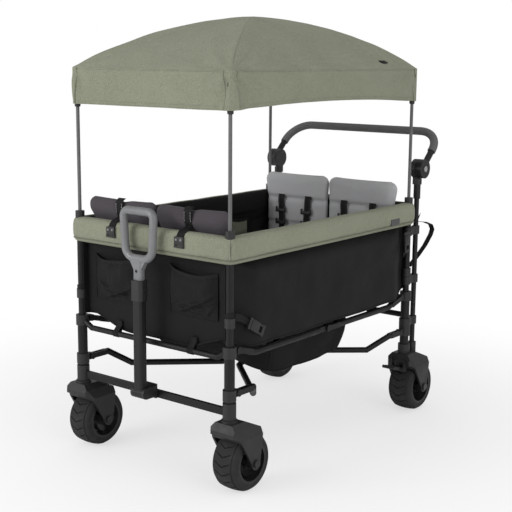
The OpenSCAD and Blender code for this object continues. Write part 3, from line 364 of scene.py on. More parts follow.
def grain_group():
    """The fine spark-eroded skin of moulded plastic, with faint rubbing and dust on top."""
    n, grain, out = group("moulded skin", ("Grain", 1500.0), ("Height", "Rub", "Dust"))
    where = n.where()
    n.link(n.noise(where, grain, 2.0, 0.6), out["Height"])
    n.link(n.span(n.noise(where, 28.0, 4.0, 0.6), 0.42, 0.72), out["Rub"])
    settled = n.span(n.noise(where, 46.0, 5.0, 0.65), 0.3, 0.75)
    n.link(n.times(n.span(n.parts(n.normal())[2], 0.2, 1.0), settled), out["Dust"])
    return n.tree


WEAVE, GRAIN = weave_group(), grain_group()
DUST = 0.3


def start(name):
    mat = bpy.data.materials.new(name)
    mat.use_nodes = True
    return mat, Nodes(mat.node_tree), mat.node_tree.nodes["Principled BSDF"]


def use(n, tree, value):
    node = n.add("ShaderNodeGroup", node_tree=tree)
    node.inputs[0].default_value = value
    return node.outputs


def set_inputs(node, values):
    for key, value in values.items():
        node.inputs[key].default_value = value


def bump(n, shader, height, distance, strength):
    node = n.add("ShaderNodeBump")
    set_inputs(node, {"Strength": strength, "Distance": distance})
    n.link(height, node.inputs["Height"])
    n.link(node.outputs[0], shader.inputs["Normal"])


def rgb(c, k=1.0):
    c = (c, c, c) if isinstance(c, float) else c
    return (c[0] * k, c[1] * k, c[2] * k, 1.0)


def cloth(name, dark, light, threads=900.0, depth=0.0004, rough=0.9, sheen=0.15):
    """Woven cloth of two yarn shades, with painted shade darkening the low points of the weave."""
    mat, n, shader = start(name)
    weave = use(n, WEAVE, threads)
    yarn = n.mix(weave["Fleck"], rgb(dark), rgb(light))
    worn = n.mix(n.times(weave["Shade"], 0.16), yarn, rgb(light, 1.12))
    # painted shade: the low points of the weave are darkened towards half the dark yarn colour
    pit_painted_shade = n.mix(n.span(weave["Height"], 0.0, 0.55, 0.28, 0.0), worn, rgb(dark, 0.5))
    n.link(pit_painted_shade, shader.inputs["Base Color"])
    n.link(n.span(weave["Fleck"], 0.0, 1.0, rough, rough - 0.1), shader.inputs["Roughness"])
    set_inputs(shader, {"Sheen Weight": sheen, "Sheen Roughness": 0.5, "Specular IOR Level": 0.15})
    bump(n, shader, weave["Height"], depth, 0.6)
    return mat


def hard(name, colours, rub, rough, grain, relief, dust=0.0, inputs=None):
    """A hard skin. Colour and roughness go from the first to the second value where it is rubbed."""
    mat, n, shader = start(name)
    skin = use(n, GRAIN, grain)
    colour = n.mix(n.times(skin["Rub"], rub), *colours)
    if dust:
        colour = n.mix(n.times(skin["Dust"], dust), colour, rgb(DUST))
    n.link(colour, shader.inputs["Base Color"])
    n.link(n.span(skin["Rub"], 0.0, 1.0, *rough), shader.inputs["Roughness"])
    set_inputs(shader, inputs or {})
    bump(n, shader, skin["Height"], *relief)
    return mat


def plastic(name, colour, rough, grain=1500.0, depth=0.00012, dust=0.0):
    """Moulded plastic."""
    colours = rgb(colour), rgb(colour, 1.45)
    return hard(name, colours, 0.35, (rough + 0.06, rough - 0.06), grain, (depth, 0.35), dust)


def paint(name, colour, rough):
    """Powder-coated steel tube."""
    coat = {"Specular IOR Level": 0.26, "Coat Weight": 0.05, "Coat Roughness": 0.35}
    colours = rgb(colour), rgb(colour, 1.35)
    return hard(name, colours, 0.3, (rough + 0.08, rough - 0.06), 900.0, (0.00025, 0.3), inputs=coat)


def metal(name, colour, rough=0.35):
    """Plated steel."""
    colours = rgb(colour), rgb(colour, 0.7)
    return hard(name, colours, 0.4, (rough, rough + 0.15), 700.0, (0.0001, 0.25), inputs={"Metallic": 0.9})


def rubber(name, colour):
    """Foam rubber of a tyre: dull and finely pitted."""
    colours = rgb(colour, 0.85), rgb(colour, 1.35)
    return hard(name, colours, 0.4, (0.82, 0.7), 2200.0, (0.0003, 0.5), inputs={"Specular IOR Level": 0.35})


def foam(name, colour):
    """Closed-cell foam sleeve, with small open pores."""
    mat, n, shader = start(name)
    cells = n.add("ShaderNodeTexVoronoi")
    cells.inputs["Scale"].default_value = 700.0
    n.link(n.where(), cells.inputs["Vector"])
    pore = n.span(cells.outputs["Distance"], 0.15, 0.6)
    n.link(n.mix(n.times(pore, 0.4), rgb(colour, 1.2), rgb(colour, 0.7)), shader.inputs["Base Color"])
    n.link(n.span(use(n, GRAIN, 500.0)["Rub"], 0.0, 1.0, 0.92, 0.8), shader.inputs["Roughness"])
    shader.inputs["Specular IOR Level"].default_value = 0.25
    bump(n, shader, pore, 0.0004, 0.5)
    return mat


SAGE = cloth("sage cloth", (0.165, 0.172, 0.122), (0.318, 0.328, 0.25), 700.0, 0.0005, 0.9, 0.05)
# darker sage for bindings, piping and stitching, also used as painted shade on the inner pockets
SAGE_TRIM_AND_SHADE = cloth("sage trim and painted shade", (0.13, 0.136, 0.098), (0.20, 0.206, 0.154), 900.0, 0.0004, 0.9, 0.05)
BLACK_CLOTH = cloth("black tub cloth", 0.006, 0.011, 900.0, 0.0005, 0.7, 0.02)
LINING = cloth("black lining", 0.007, 0.013, 1100.0, 0.0003, 0.8, 0.0)
BASKET_CLOTH = cloth("basket cloth", 0.006, 0.011, 800.0, 0.0005, 0.85, 0.0)
CHARCOAL = cloth("charcoal seat cloth", (0.052, 0.046, 0.053), (0.08, 0.071, 0.081), 800.0, 0.0005, 0.9, 0.1)
GREY_CLOTH = cloth("grey seat cloth", (0.39, 0.393, 0.404), (0.48, 0.483, 0.496), 800.0, 0.0004, 0.9, 0.1)
GREY_TRIM = cloth("grey seat binding", 0.06, 0.10, 900.0)
WEBBING = cloth("black webbing", 0.007, 0.014, 1300.0, 0.0006, 0.6, 0.0)
STITCH = cloth("pale stitching", 0.35, 0.5, 1500.0, 0.0002)
BLACK_PLASTIC = plastic("black plastic", 0.011, 0.48, dust=0.05)
WHEEL_PLASTIC = plastic("wheel plastic", 0.009, 0.45, dust=0.04)
GREY_PLASTIC = plastic("grey grip plastic", (0.172, 0.174, 0.179), 0.34, 1800.0, 0.0001)
PALE_PLASTIC = plastic("pale button plastic", 0.30, 0.4, 1800.0, 0.0001)
FRAME = paint("dark grey frame paint", 0.0065, 0.38)
POLE = paint("grey pole paint", 0.12, 0.38)
BLACK_PAINT = paint("black handle paint", 0.012, 0.4)
STEEL = metal("dark plated steel", 0.09)
TYRE = rubber("tyre foam rubber", 0.022)
FOAM = foam("foam sleeve", 0.12)

# The record's material slot that each finish belongs to
SLOTS = {
    "sage_fabric": (SAGE, SAGE_TRIM_AND_SHADE),
    "black_fabric": (BLACK_CLOTH, BASKET_CLOTH, WEBBING),
    "grey_fabric": (GREY_CLOTH, GREY_TRIM),
    "charcoal_fabric": (CHARCOAL,),
    "pole_steel": (POLE,),
    "black_plastic": (BLACK_PLASTIC,),
}
SLOT_OF = {finish: slot for slot, finishes in SLOTS.items() for finish in finishes}


def dress():
    """Gives each piece that is shown as packed its finish. What isn't named is black plastic."""
    finishes = {
        FRAME: ("rear_legs", "front_legs", "rear_crossbars", "front_crossbars", "rear_floor_frame",
                "front_floor_frame", "rear_braces", "front_braces"),
        POLE: ("rear_poles", "front_poles"),
        BLACK_PAINT: ("handle_risers", "push_bar", "pull_tube"),
        FOAM: ("push_grip",),
        GREY_PLASTIC: ("pull_grip",),
        PALE_PLASTIC: ("joint_button_left", "joint_button_right"),
        TYRE: [name for name in NODES if "tyre" in name],
        WHEEL_PLASTIC: [name for name in NODES if name.endswith(("rim_left", "rim_right"))],
        STEEL: ("rear_axles",),
        BLACK_CLOTH: ("rear_floor_board", "front_floor_board"),
    }
    finish_of = {name: finish for finish, names in finishes.items() for name in names}
    for name, obj in NODES.items():
        mats = obj.data.materials
        if not len(mats):
            mats.append(None)
        for i in range(len(mats)):
            mats[i] = finish_of.get(name, BLACK_PLASTIC)


# Canopy

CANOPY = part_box("canopy")
FLARE = 0.003
ROOF_X = (CANOPY[1].x - CANOPY[0].x) / 2 - FLARE
ROOF_Y = (CANOPY[1].y - CANOPY[0].y) / 2 - FLARE
VALANCE = 0.099
HEM_Z, PEAK_Z = CANOPY[0].z, CANOPY[1].z - 0.001
SEAM_Z = HEM_Z + VALANCE
HIP_BOW = 0.97
PANEL_SAG = 0.006
SIDE_ARCH = 0.014
CANOPY_THICK = 0.0016


def roof_fold():
    """The canopy stays as far outside the poles at both ends as at rest."""
    rear = MID + ROOF_Y
    front = REAR + (FRONT - REAR) * FOLD_KEEP - (FRONT - MID + ROOF_Y)
    return fold((rear - front) / (2 * ROOF_Y), rear)


def edge_way(side, s):
    """Point on the edge of a 2 x 2 square: side 0 is +X, 1 is +Y, 2 is -X and 3 is -Y."""
    return ((1, s), (-s, 1), (-1, -s), (s, -1))[side]


def side_length(side):
    return 2 * (ROOF_Y if side % 2 == 0 else ROOF_X)


def corner_folds(side, s, drop):
    """Folds that spread from the two corners of a side. drop is below the seam, or negative above it."""
    total = 0.0
    for k, d in enumerate(((1 + s) / 2 * side_length(side), (1 - s) / 2 * side_length(side))):
        r, turn = math.hypot(d, drop), math.atan2(d, abs(drop) + 0.015)
        swing = math.sin(8.5 * turn + 1.7 * side + 2.3 * k + 1.6 * wave(d, side, drop, 9))
        total += swing * math.exp(-r / 0.2) * ramp(r, 0.004, 0.04)
    return total


def roof_point(side, s, t):
    """t is 0 at the seam and 1 at the peak. The outline gets rounder on the way up."""
    u, v = edge_way(side, s)
    p = 100 * (1 - t) ** 3 + 3.2
    f = (1 - t) / (abs(u) ** p + abs(v) ** p) ** (1 / p)
    rise = (PEAK_Z - SEAM_Z) * (t + HIP_BOW * t * (1 - t))
    crease = 4 * t * (1 - t)
    gather = math.sin(46 * s + 4 * wave(s * 3, side, 0, 1.3))
    gather *= ramp(t, 0.0, 0.03) * math.exp(-t / 0.09) * ramp(1 - abs(s), 0.0, 0.1)
    z = SEAM_Z + rise - PANEL_SAG * (1 - s * s) * crease + 0.0016 * gather
    z += 0.0055 * corner_folds(side, s, -t * 0.4) * (1 - t) + 0.0022 * wave(u * f, v * f, t, 6) * crease
    return Vector((u * ROOF_X * f, MID + v * ROOF_Y * f, z))


def valance_point(side, s, drop, proud=0.0):
    """drop is 0 at the seam and 1 at the hem."""
    u, v = edge_way(side, s)
    f = 1 / (abs(u) ** 100 + abs(v) ** 100) ** 0.01
    along_x = side % 2 == 0
    out = Vector((u, 0, 0)) if along_x else Vector((0, v, 0))
    height = VALANCE - (SIDE_ARCH * (1 - s * s) if along_x else 0.0)
    push = 0.0085 * corner_folds(side, s, drop * height) * ramp(drop, 0.0, 0.25)
    ripple = math.sin(23 * s + 3 * wave(s * 2.5, drop * 0.6, side, 1.4))
    push += 0.0018 * ripple * math.sin(math.pi * (0.15 + 0.7 * drop))
    push += 0.003 * wave(u * 2, v * 3, drop * 0.5 + side, 2.3) * drop + FLARE * drop * 0.8
    push *= ramp(1 - abs(s), 0.0, 0.05)
    return Vector((u * ROOF_X * f, MID + v * ROOF_Y * f, SEAM_Z - height * drop)) + out * (push + proud)


def canopy():
    columns = [(side, s) for side in range(4) for s in spread(61 if side % 2 == 0 else 45)[:-1]]
    rows = grid_of(columns, steps(13, 1, 0), lambda at, drop: valance_point(*at, drop))
    rows += grid_of(columns, [0.008] + steps(26, 0.02, 0.985), lambda at, t: roof_point(*at, t))
    rows.append([Vector((0, MID, PEAK_Z))] * len(columns))
    cover, area = sew("canopy_cloth", [rows], SAGE, CANOPY_THICK, "rear_frame", ("canopy",), roof_fold(), wrap=True)
    canopy_trim()
    canopy_stitching()
    canopy_tab()


def canopy_trim():
    """Binding along the hem and the seam, and a band folded round each corner."""
    trim, line = Piece("canopy_trim"), steps(70, -1, 1)
    band_half, proud = 0.022, 0.0016
    for side in range(4):
        trim.tube([valance_point(side, s, 0.985, 0.0004) for s in line], 0.0017, 0, 6)
        trim.tube([valance_point(side, s, 0.0, 0.0002) for s in line], 0.0012, 0, 6)
        after = (side + 1) % 4
        here, there = (2 * band_half / side_length(k) for k in (side, after))
        band = [[valance_point(side, 1 - here * (1 - k), d, proud) for k in steps(5)]
                + [valance_point(after, -1 + there * k, d, proud) for k in steps(5)[1:]] for d in steps(10)]
        trim.grid(band)
        for edge in (0, -1):
            trim.tube([row[edge] for row in band], 0.0009, 1, 6)
    return place(trim.make([SAGE, SAGE_TRIM_AND_SHADE]), "rear_frame", (), roof_fold())


def canopy_stitching():
    """Two rows of stitches round the valance."""
    thread, pitch, proud = Piece("canopy_stitching"), 0.0045, 0.0011
    for side in range(4):
        n = int(side_length(side) / pitch)
        for drop in (0.045, 0.9):
            for i in range(n):
                ends = (2 * (i + k) / n - 1 for k in (0.18, 0.78))
                thread.tube([valance_point(side, s, drop, proud) for s in ends], 0.0004, 0, 4)
    return place(thread.make([SAGE_TRIM_AND_SHADE]), "rear_frame", (), roof_fold())


def canopy_tab():
    """Plain tab on the left panel, near its rear corner."""
    at, half, low, tall, proud = 0.66, 0.036, 0.05, 0.034, Vector((0.0016, 0, 0.0022))
    rows = grid_of(steps(5, at - half, at + half), steps(6, low, low + tall), lambda s, t: roof_point(0, s, t) + proud)
    return patch("canopy_tab", rows, WEBBING, roof_fold())


def canopy_rods():
    piece, radius, under = Piece("canopy_rods"), 0.0034, Vector((0, 0, -0.011))
    for side in range(4):
        piece.tube([roof_point(side, 1, t) + under for t in steps(40, 0.03, 0.95)], radius, 0, 12)
    crown = [(0.0005, 0), (0.02, 0.0005), (0.024, 0.003), (0.024, 0.009), (0.02, 0.013), (0.01, 0.0165),
             (0.0005, 0.018)]
    piece.lathe((0, MID, PEAK_Z - 0.024), Z, crown, 1)
    place(piece.make([POLE, BLACK_PLASTIC]), "rear_frame", ("hip_rods",), roof_fold())


def pole_ferrules():
    """Small collars on the poles, just under the canopy's hem."""
    collar = [(0.0056, 0), (0.0075, 0.0008), (0.0082, 0.003), (0.0082, 0.009), (0.0072, 0.012), (0.0056, 0.0125)]
    for y, end in ((FRONT, "front"), (REAR, "rear")):
        piece = Piece("pole_ferrules_" + end)
        for x in (-LEG_X, LEG_X):
            piece.lathe((x, y, HEM_Z - 0.009), Z, collar, 0, 20)
        place(piece.make([BLACK_PLASTIC]), end + "_frame")


# Rim

RIM_OUT, RIM_IN, PIPING_UP, PIPING_R = 0.0205, 0.0215, 0.0125, 0.0021
RIM_TALL, RIM_MID = RIM_TOP - RIM_LOW, (RIM_TOP + RIM_LOW) / 2
# The lining covers the inside, from this depth inwards
LINING_FROM = -0.003


def rim_section(n=40):
    """Depth outward and height of the padded band, round its section."""
    half, mid = (RIM_OUT + RIM_IN) / 2, (RIM_OUT - RIM_IN) / 2
    loop = []
    for k in range(n):
        c, s = math.cos(2 * math.pi * k / n), math.sin(2 * math.pi * k / n)
        loop.append((mid + half * math.copysign(abs(c) ** 0.62, c), RIM_TALL / 2 * math.copysign(abs(s) ** 0.55, s)))
    return loop


def rim_band(where, a, b, out, body, squash=None):
    """A padded band from corner a to corner b, mitred at both, with its outside towards out."""
    a, b = Vector(a), Vector(b)
    along, length = (b - a).normalized(), (b - a).length
    section = rim_section()
    piece = Piece("rim_%s_band" % where)

    def station(v, depth, mitre=1.0):
        """Place at v along the band, moved along it for the mitre, and the depth, drawn in at the corners."""
        near = min(v, 1 - v) * length
        depth *= 1 - 0.34 * bell(near, 0.009)
        return a.lerp(b, v) + along * (mitre * depth * (2 * v - 1) * bell(near, 0.05) if near < 0.2 else 0.0), depth

    def skin(at, v):
        depth, z = at
        p, d = station(v, depth)
        over = z + RIM_TALL / 2 - PIPING_UP
        d += ramp(depth, 0.0, 0.014) * (
            0.0016 * bell(z - 0.004, 0.022) - 0.0022 * bell(over, 0.0026)
            + 0.0011 * bell(over - 0.006, 0.008) * wave(p.x, p.y, 0, 55) + 0.0016 * wave(p.x, p.y, z, 9))
        lift = 0.0018 * wave(p.x, p.y, 3, 8) * ramp(z, 0.0, 0.03)
        return p + out * d + Z * (RIM_MID + z + lift)

    stations = sorted(steps(int(length / 0.008)) + [0.002, 0.004, 0.007, 0.993, 0.996, 0.998])
    piece.loft(grid_of(section, stations, skin), lambda i, j: 1 if section[j][0] < LINING_FROM else 0)
    line = []
    for v in steps(int(length / 0.01)):
        p, d = station(v, RIM_OUT, 0.9)
        d += 0.0008 * wave(p.x, p.y, 0, 12) - 0.0009
        line.append(p + out * d + Z * (RIM_LOW + PIPING_UP - 0.0005))
    piece.tube(line, PIPING_R, 2)
    band = piece.make([SAGE, LINING, SAGE_TRIM_AND_SHADE], 70)
    place(band, body, ("rim_" + where,), squash)


def rim():
    x = LEG_X
    rim_band("front", (-x, FRONT, 0), (x, FRONT, 0), -Y, "front_frame")
    rim_band("rear", (-x, REAR, 0), (x, REAR, 0), Y, "rear_frame")
    for side, name in SIDES:
        rim_band(name, (side * x, FRONT, 0), (side * x, REAR, 0), X * side, "rear_frame", fold())


# Tub

WALL_TOP = RIM_LOW + 0.004
SIDE_X = LEG_X - 0.0125
END_IN = 0.0165
CLOTH_THICK = 0.0018
# How far the walls hang over the edge of the floor
HEM_DROP = 0.026
# How far the long walls stand out, so that the folded rails clear them, and how much more at the hem
WALL_BELLY = 0.0245
HEM_FLARE = 0.001
# Heights of the strip that is turned under the floor, as shares of a wall's height
TURNED_UNDER = [-0.075, -0.05, -0.025, -0.008]


def wall_folds(a, h, seed):
    """Slack folds of a hung wall. a is along it and h up it, both from 0 to 1."""
    low = 1 - h
    ends = sum(math.sin(9 * math.atan2(low + 0.05, d * 3 + 0.02) + seed + k) * math.exp(-3.2 * math.hypot(d * 2.2, low))
               for k, d in enumerate((a, 1 - a)))
    pull = math.sin(15 * (a * 2.2 + h * 0.55) + seed) * math.exp(-2.5 * low) * ramp(low, 0.02, 0.2)
    return (0.0065 * ends + 0.0045 * wave(a * 3, h * 1.4, seed, 2.2)
            + 0.0022 * (wave(a * 9, h * 2.5, seed, 2.1) + pull))


def tub_wall(where, body, columns, drop, reach, point, outward, squash=None):
    """A hung wall with a bound hem. point gives x and y from a along the wall, h up it and its height z."""
    name = "tub_%s_cloth" % where

    def hung(a, h):
        hem = TUB_LOW + 0.004 - drop * end_ramp(a, 0.0, reach) + 0.003 * abs(math.sin(3 * math.pi * a))
        z = hem + max(h, 0.0) * (WALL_TOP - hem)
        return Vector((*point(a, h, z), z - 0.0035 * ramp(-h, 0, 0.03)))

    rows = grid_of(steps(columns), TURNED_UNDER + steps(22), hung)
    wall, area = sew(name, [rows], BLACK_CLOTH, CLOTH_THICK, body, ("tub_%s_wall" % where,), squash)
    hem = Piece(name + "_hem")
    hem.tube([p + (outward - Z) * 0.0006 for p in rows[len(TURNED_UNDER)]], 0.0022, 0, 6)
    edge = place(hem.make([WEBBING]), body, (), squash)


def tub_side(side, name):
    start_y, end_y = FRONT - 0.004, REAR + 0.006

    def point(a, h, z):
        x = SIDE_X + WALL_BELLY * (1 - ramp(h, 0.86, 1.0)) * end_ramp(a, 0.02, 0.12)
        x += wall_folds(a, max(h, 0), 2.0 + side) * end_ramp(a, 0, 0.04) + 0.12 * min(h, 0)
        x += HEM_FLARE * end_ramp(a, 0.05, 0.13) * (1 - ramp(z, TUB_LOW - 0.002, TUB_LOW + 0.05))
        return side * x, start_y + a * (end_y - start_y)

    tub_wall(name, "rear_frame", 114, HEM_DROP, 0.11, point, X * side, fold())


def tub_end(y, way, end):
    """way is towards the inside of the tub."""
    def point(a, h, z):
        slack = 0.7 * wall_folds(a, max(h, 0), 7.0 + way) * end_ramp(a, 0, 0.06)
        return SIDE_X * (2 * a - 1), y + way * (END_IN - slack - 0.2 * min(h, 0))

    tub_wall(end, end + "_frame", 74, 1.5 * HEM_DROP, 0.3, point, Y * -way)


def front_ties():
    """Webbing loops that hold the front wall down on its rail."""
    rail_z, loop_r = TUB_LOW - 0.042, 0.0088
    piece = Piece("front_ties")
    for x in (-0.135, 0.145):
        path = [(END_IN - 0.003, TUB_LOW - 0.006), (END_IN - 0.004, TUB_LOW - 0.024)]
        path += [(loop_r * math.cos(a), rail_z + loop_r * math.sin(a)) for a in steps(14, 0.3, -math.pi * 1.1)]
        path += [(0.001, rail_z + 0.013), (END_IN - 0.0065, TUB_LOW - 0.018), (END_IN - 0.006, TUB_LOW - 0.006)]
        piece.strap([(x, FRONT + y, z) for y, z in path], X, 0.02)
    place(piece.make([WEBBING]), "front_frame")


# Creases of a front pocket: slope, height and depth
POCKET_CREASES = ((0.62, 0.22, 0.0075), (-0.5, 0.1, 0.0062), (0.15, 0.27, 0.0055), (1.5, -0.35, 0.005))
POCKET_X, POCKET_HALF = 0.142, 0.084


def pocket_depth(u, v, side, stand):
    """How far a front pocket stands out, at u across it from -1 to 1 and v up it from 0 to 1."""
    round_u = max(0.0, 1 - abs(u) ** 3.0)
    round_v = min(1.0, ramp(v, -0.02, 0.42) * 0.93 + 0.07)
    mouth = 1 - 0.22 * ramp(v, 0.75, 1.0) * u * u
    across = u * side
    big = 0.6 * math.sin(5.2 * (across * 0.9 + v * 1.25) + side) + 0.4 * math.sin(8.5 * (across - v * 0.8) + 1.3 * side)
    d = stand * 0.8 * round_u * round_v * mouth
    d += 0.0034 * big * round_u * ramp(v, 0.0, 0.2) * (1 - 0.6 * ramp(v, 0.8, 1.0))
    fade = ramp(v, 0.02, 0.16) * (1 - ramp(v, 0.62, 0.92)) * (1 - ramp(abs(u), 0.6, 1.0))
    for slope, at, deep in POCKET_CREASES:
        off = (v - at - slope * (across - 0.1) * 0.5) / math.hypot(1, slope * 0.5)
        d += deep * fade * (bell(off - 0.05, 0.05) - 0.9 * bell(off, 0.035))
    d += 0.0014 * wave(u * 3.5, v * 0.8, side * 4, 2.6) * round_u
    return min(max(d, 0.0004), stand + 0.004)


def pockets():
    """Two open pockets on the front wall, each with a bound mouth and sides."""
    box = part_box("front_pockets")
    back = FRONT + END_IN - 0.0022
    low, high = box[0].z, box[1].z
    for side, name in SIDES:
        def point(u, v):
            top = high - 0.014 * (1 - u * u) - 0.006 * ramp(u * side, -0.2, 0.7)
            d = pocket_depth(u, v, side, back - box[0].y)
            return Vector((side * POCKET_X + u * POCKET_HALF, back - d, low + v * (top - low)))

        rows = grid_of(steps(56, -1, 1), steps(40), point)
        nodes = ("front_pockets",) if side == LEFT else ()
        cover, area = sew(name + "_front_pocket", [rows], BLACK_CLOTH, 0.0016, "front_frame", nodes)
        trim, mouth = Piece(name + "_pocket_hem"), rows[-1]
        trim.strap([p + Vector((0, -0.0012, -0.006)) for p in mouth], Z, 0.013, 0.0026)
        for p, q in zip(mouth, mouth[1:]):
            trim.tube([p.lerp(q, t) + Vector((0, -0.0028, -0.0105)) for t in (0.15, 0.8)], 0.0003, 1, 4)
        for edge in (0, -1):
            trim.tube([row[edge] + Vector((0, -0.0014, 0)) for row in rows], 0.0013, 0, 6)
        hem = place(trim.make([WEBBING, BLACK_CLOTH]), "front_frame")


def inner_pockets():
    """Small pockets sewn inside the long walls, beside the rear seats, in the darker sage trim cloth as painted shade.
    """
    middle, half, tall, below = REAR - 0.188, 0.039, 0.056, 0.066
    for side, name in SIDES:
        def point(u, v):
            edge = (1 - u ** 4) * ramp(v, -0.05, 0.3)
            z = RIM_LOW - below + tall * v - 0.004 * (1 - u * u) * v
            x = SIDE_X - 0.006 - (0.008 + 0.0012 * wave(u * 2, v, side, 2.4)) * edge
            return Vector((side * x, middle + half * u, z))

        piece, rows = Piece("inner_pocket_" + name), grid_of(steps(18, -1, 1), steps(14), point)
        piece.grid(rows)
        piece.strap([p + Vector((-side * 0.001, 0, -0.003)) for p in rows[-1]], Z, 0.008, 0.0022, 1)
        # painted shade: the pocket takes the darker sage trim cloth because it sits in the shade inside the tub
        cover = piece.make([SAGE_TRIM_AND_SHADE, WEBBING], 60)
        thicken(cover, 0.0014, False)
        place(cover, "rear_frame", (), fold())


# Loop strap of the rear bag: places outward, behind and above the end of the bag's mouth
BAG_LOOP = ((0.0, -0.03, -0.001), (0.012, -0.008, 0.0), (0.026, 0.022, -0.004), (0.034, 0.046, -0.014),
            (0.036, 0.055, -0.03), (0.034, 0.049, -0.048), (0.026, 0.028, -0.082), (0.014, 0.002, -0.116),
            (0.0, -0.026, -0.148))


def rear_bag():
    """A bag that hangs behind the rear wall, with a loop strap at each end."""
    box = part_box("rear_bag")
    y0, y1, half = box[0].y + 0.001, box[1].y + 0.018, box[1].x - 0.003
    low, high = box[0].z, box[1].z
    # u across the bag, and t from the wall out to its back
    path = [(-1, t) for t in steps(8)[:-1]] + [(u, 1.0) for u in steps(40, -1, 1)]
    path += [(1, t) for t in steps(8, 1, 0)[1:]]

    def point(at, v):
        u, t = at
        full = math.sin(math.pi * min(1, v * 0.75 + 0.25)) ** 0.5
        bottom, top = low + 0.055 * t, high - 0.010 * (1 - u * u) * t
        out = (y1 - y0) * t * (0.55 + 0.45 * full) + 0.005 * wave(u * 3, v * 2, 5, 1.6) * t
        wide = (half + 0.042 * t) * (1 - 0.03 * (1 - v))
        return Vector((u * wide, y0 + (max(out, 0.0005) if t else 0.0), bottom + v * (top - bottom)))

    rows = grid_of(path, steps(26), point)
    floor = grid_of(rows[0], steps(8), lambda p, k: p.lerp(Vector((p.x, y0, low)), k))
    bag, area = sew("rear_bag_cloth", [rows, floor], BLACK_CLOTH, CLOTH_THICK, "rear_frame", ("rear_bag",), sharp=55)
    trim = Piece("rear_bag_binding")
    trim.tube([p + Z * 0.0006 for p in rows[-1]], 0.0026)
    trim.tube([p + Y * 0.0006 for p in rows[0]], 0.002)
    for side in (LEFT, RIGHT):
        loop = [(side * (half + 0.048 + bow), y1 + out, high + up) for bow, out, up in BAG_LOOP]
        trim.strap(loop, (1, 0.2, 0), 0.016, WEB_THICK)
    edge = place(trim.make([WEBBING]), "rear_frame")


def basket():
    """A bag under the floor, carried by the braces."""
    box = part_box("basket")
    hx, hy = (box[1].x - box[0].x) / 2 - 0.002, (box[1].y - box[0].y) / 2 - 0.002
    low, high = box[0].z + 0.007, box[1].z - 0.001
    dip, taper, rear_in, walls = 0.044, 0.046, 0.04, 0.2
    columns = [(side, s) for side in range(4) for s in spread(41)[:-1]]

    def slack(x, y):
        """The floor of the basket sags beside the braces that carry it."""
        return 0.024 * ramp(abs(x), 0.05, 0.19) * (1 - (y / hy) ** 4)

    def wall_point(side, s, v):
        """v is 0 at the floor and 1 at the mouth."""
        u, w = edge_way(side, s)
        along_x = side % 2 == 0
        f = 1 / (abs(u) ** 14 + abs(w) ** 14) ** (1 / 14)
        end = ramp(abs(w), 0.55, 1.0) if along_x else 1.0
        top = high - dip * end * (1 - 0.15 * abs(s))
        inset = taper * (1 - v) ** 1.4
        inset_y = rear_in + 0.02 * v if w > 0 else inset
        sag = 0.006 * wave(u * 2, w * 2, v, 1.7) + 0.004 * math.sin(7 * s + side) * (1 - v)
        x = u * f * (hx - inset) + (u * sag if along_x else 0)
        y = w * f * (hy - inset_y) + (0 if along_x else w * sag)
        x, y = max(-hx, min(hx, x)), max(-hy, min(hy, y))
        bottom = low - slack(u * f * (hx - taper), y)
        return Vector((x, MID + y, bottom + v * (top - bottom)))

    def floor_point(p, k):
        """k is 1 at the foot of the wall and 0 at the middle of the floor."""
        x, y = p.x * k, (p.y - MID) * k
        return Vector((x, MID + y, low - 0.005 * (1 - k * k) - slack(x, y)))

    def outside(points):
        return [p + (p - Vector((0, MID, p.z))).normalized() * 0.001 for p in points]

    rows = grid_of(columns, steps(16, 1, 0), lambda at, v: wall_point(*at, v))
    mouth, seam, foot = rows[0], rows[5], rows[-1]
    rows += grid_of(foot, (0.93, 0.8, 0.6, 0.4, 0.2, 0.0), floor_point)
    squash = fold(0.07, MID, 0.3)
    bag, area = sew("basket_cloth", [rows], BASKET_CLOTH, 0.002, "hub", ("basket",), squash, wrap=True)
    trim = Piece("basket_binding")
    trim.tube(mouth, 0.0032, closed=True)
    trim.tube(outside(seam), 0.0012, 0, 6, closed=True)
    trim.tube(foot, 0.0018, 0, 6, closed=True)
    for side in range(4):
        trim.tube(outside([wall_point(side, 1.0, v) for v in steps(20)]), 0.0016, 0, 6)
    edge = place(trim.make([WEBBING]), "hub", (), squash)


# Seats

SEAT_GAP = 0.003
PAD_SWELL = 0.006
# How far the front backs lean out over the rim
FRONT_LEAN = 0.014


def swell(obj, voxel):
    """Fills a closed form as stuffing does: remesh, cloth pressure, limited travel."""
    mod = obj.modifiers.new("even", "REMESH")
    mod.mode, mod.voxel_size = "VOXEL", voxel
    settle(obj)
    rest = [v.co.copy() for v in obj.data.vertices]
    mod = obj.modifiers.new("fill", "CLOTH")
    mod.settings.use_pressure = True
    mod.settings.uniform_pressure_force = 4.0
    mod.settings.effector_weights.gravity = 0.0
    mod.collision_settings.use_collision = False
    for f in range(1, 21):
        bpy.context.scene.frame_set(f)
    full = obj.evaluated_get(bpy.context.evaluated_depsgraph_get()).data
    moved = [v.co.copy() for v in full.vertices]
    obj.modifiers.clear()
    bpy.context.scene.frame_set(1)
    for v, a, b in zip(obj.data.vertices, rest, moved):
        d = b - a
        v.co = a + d * min(1.0, PAD_SWELL / max(d.length, 1e-6))


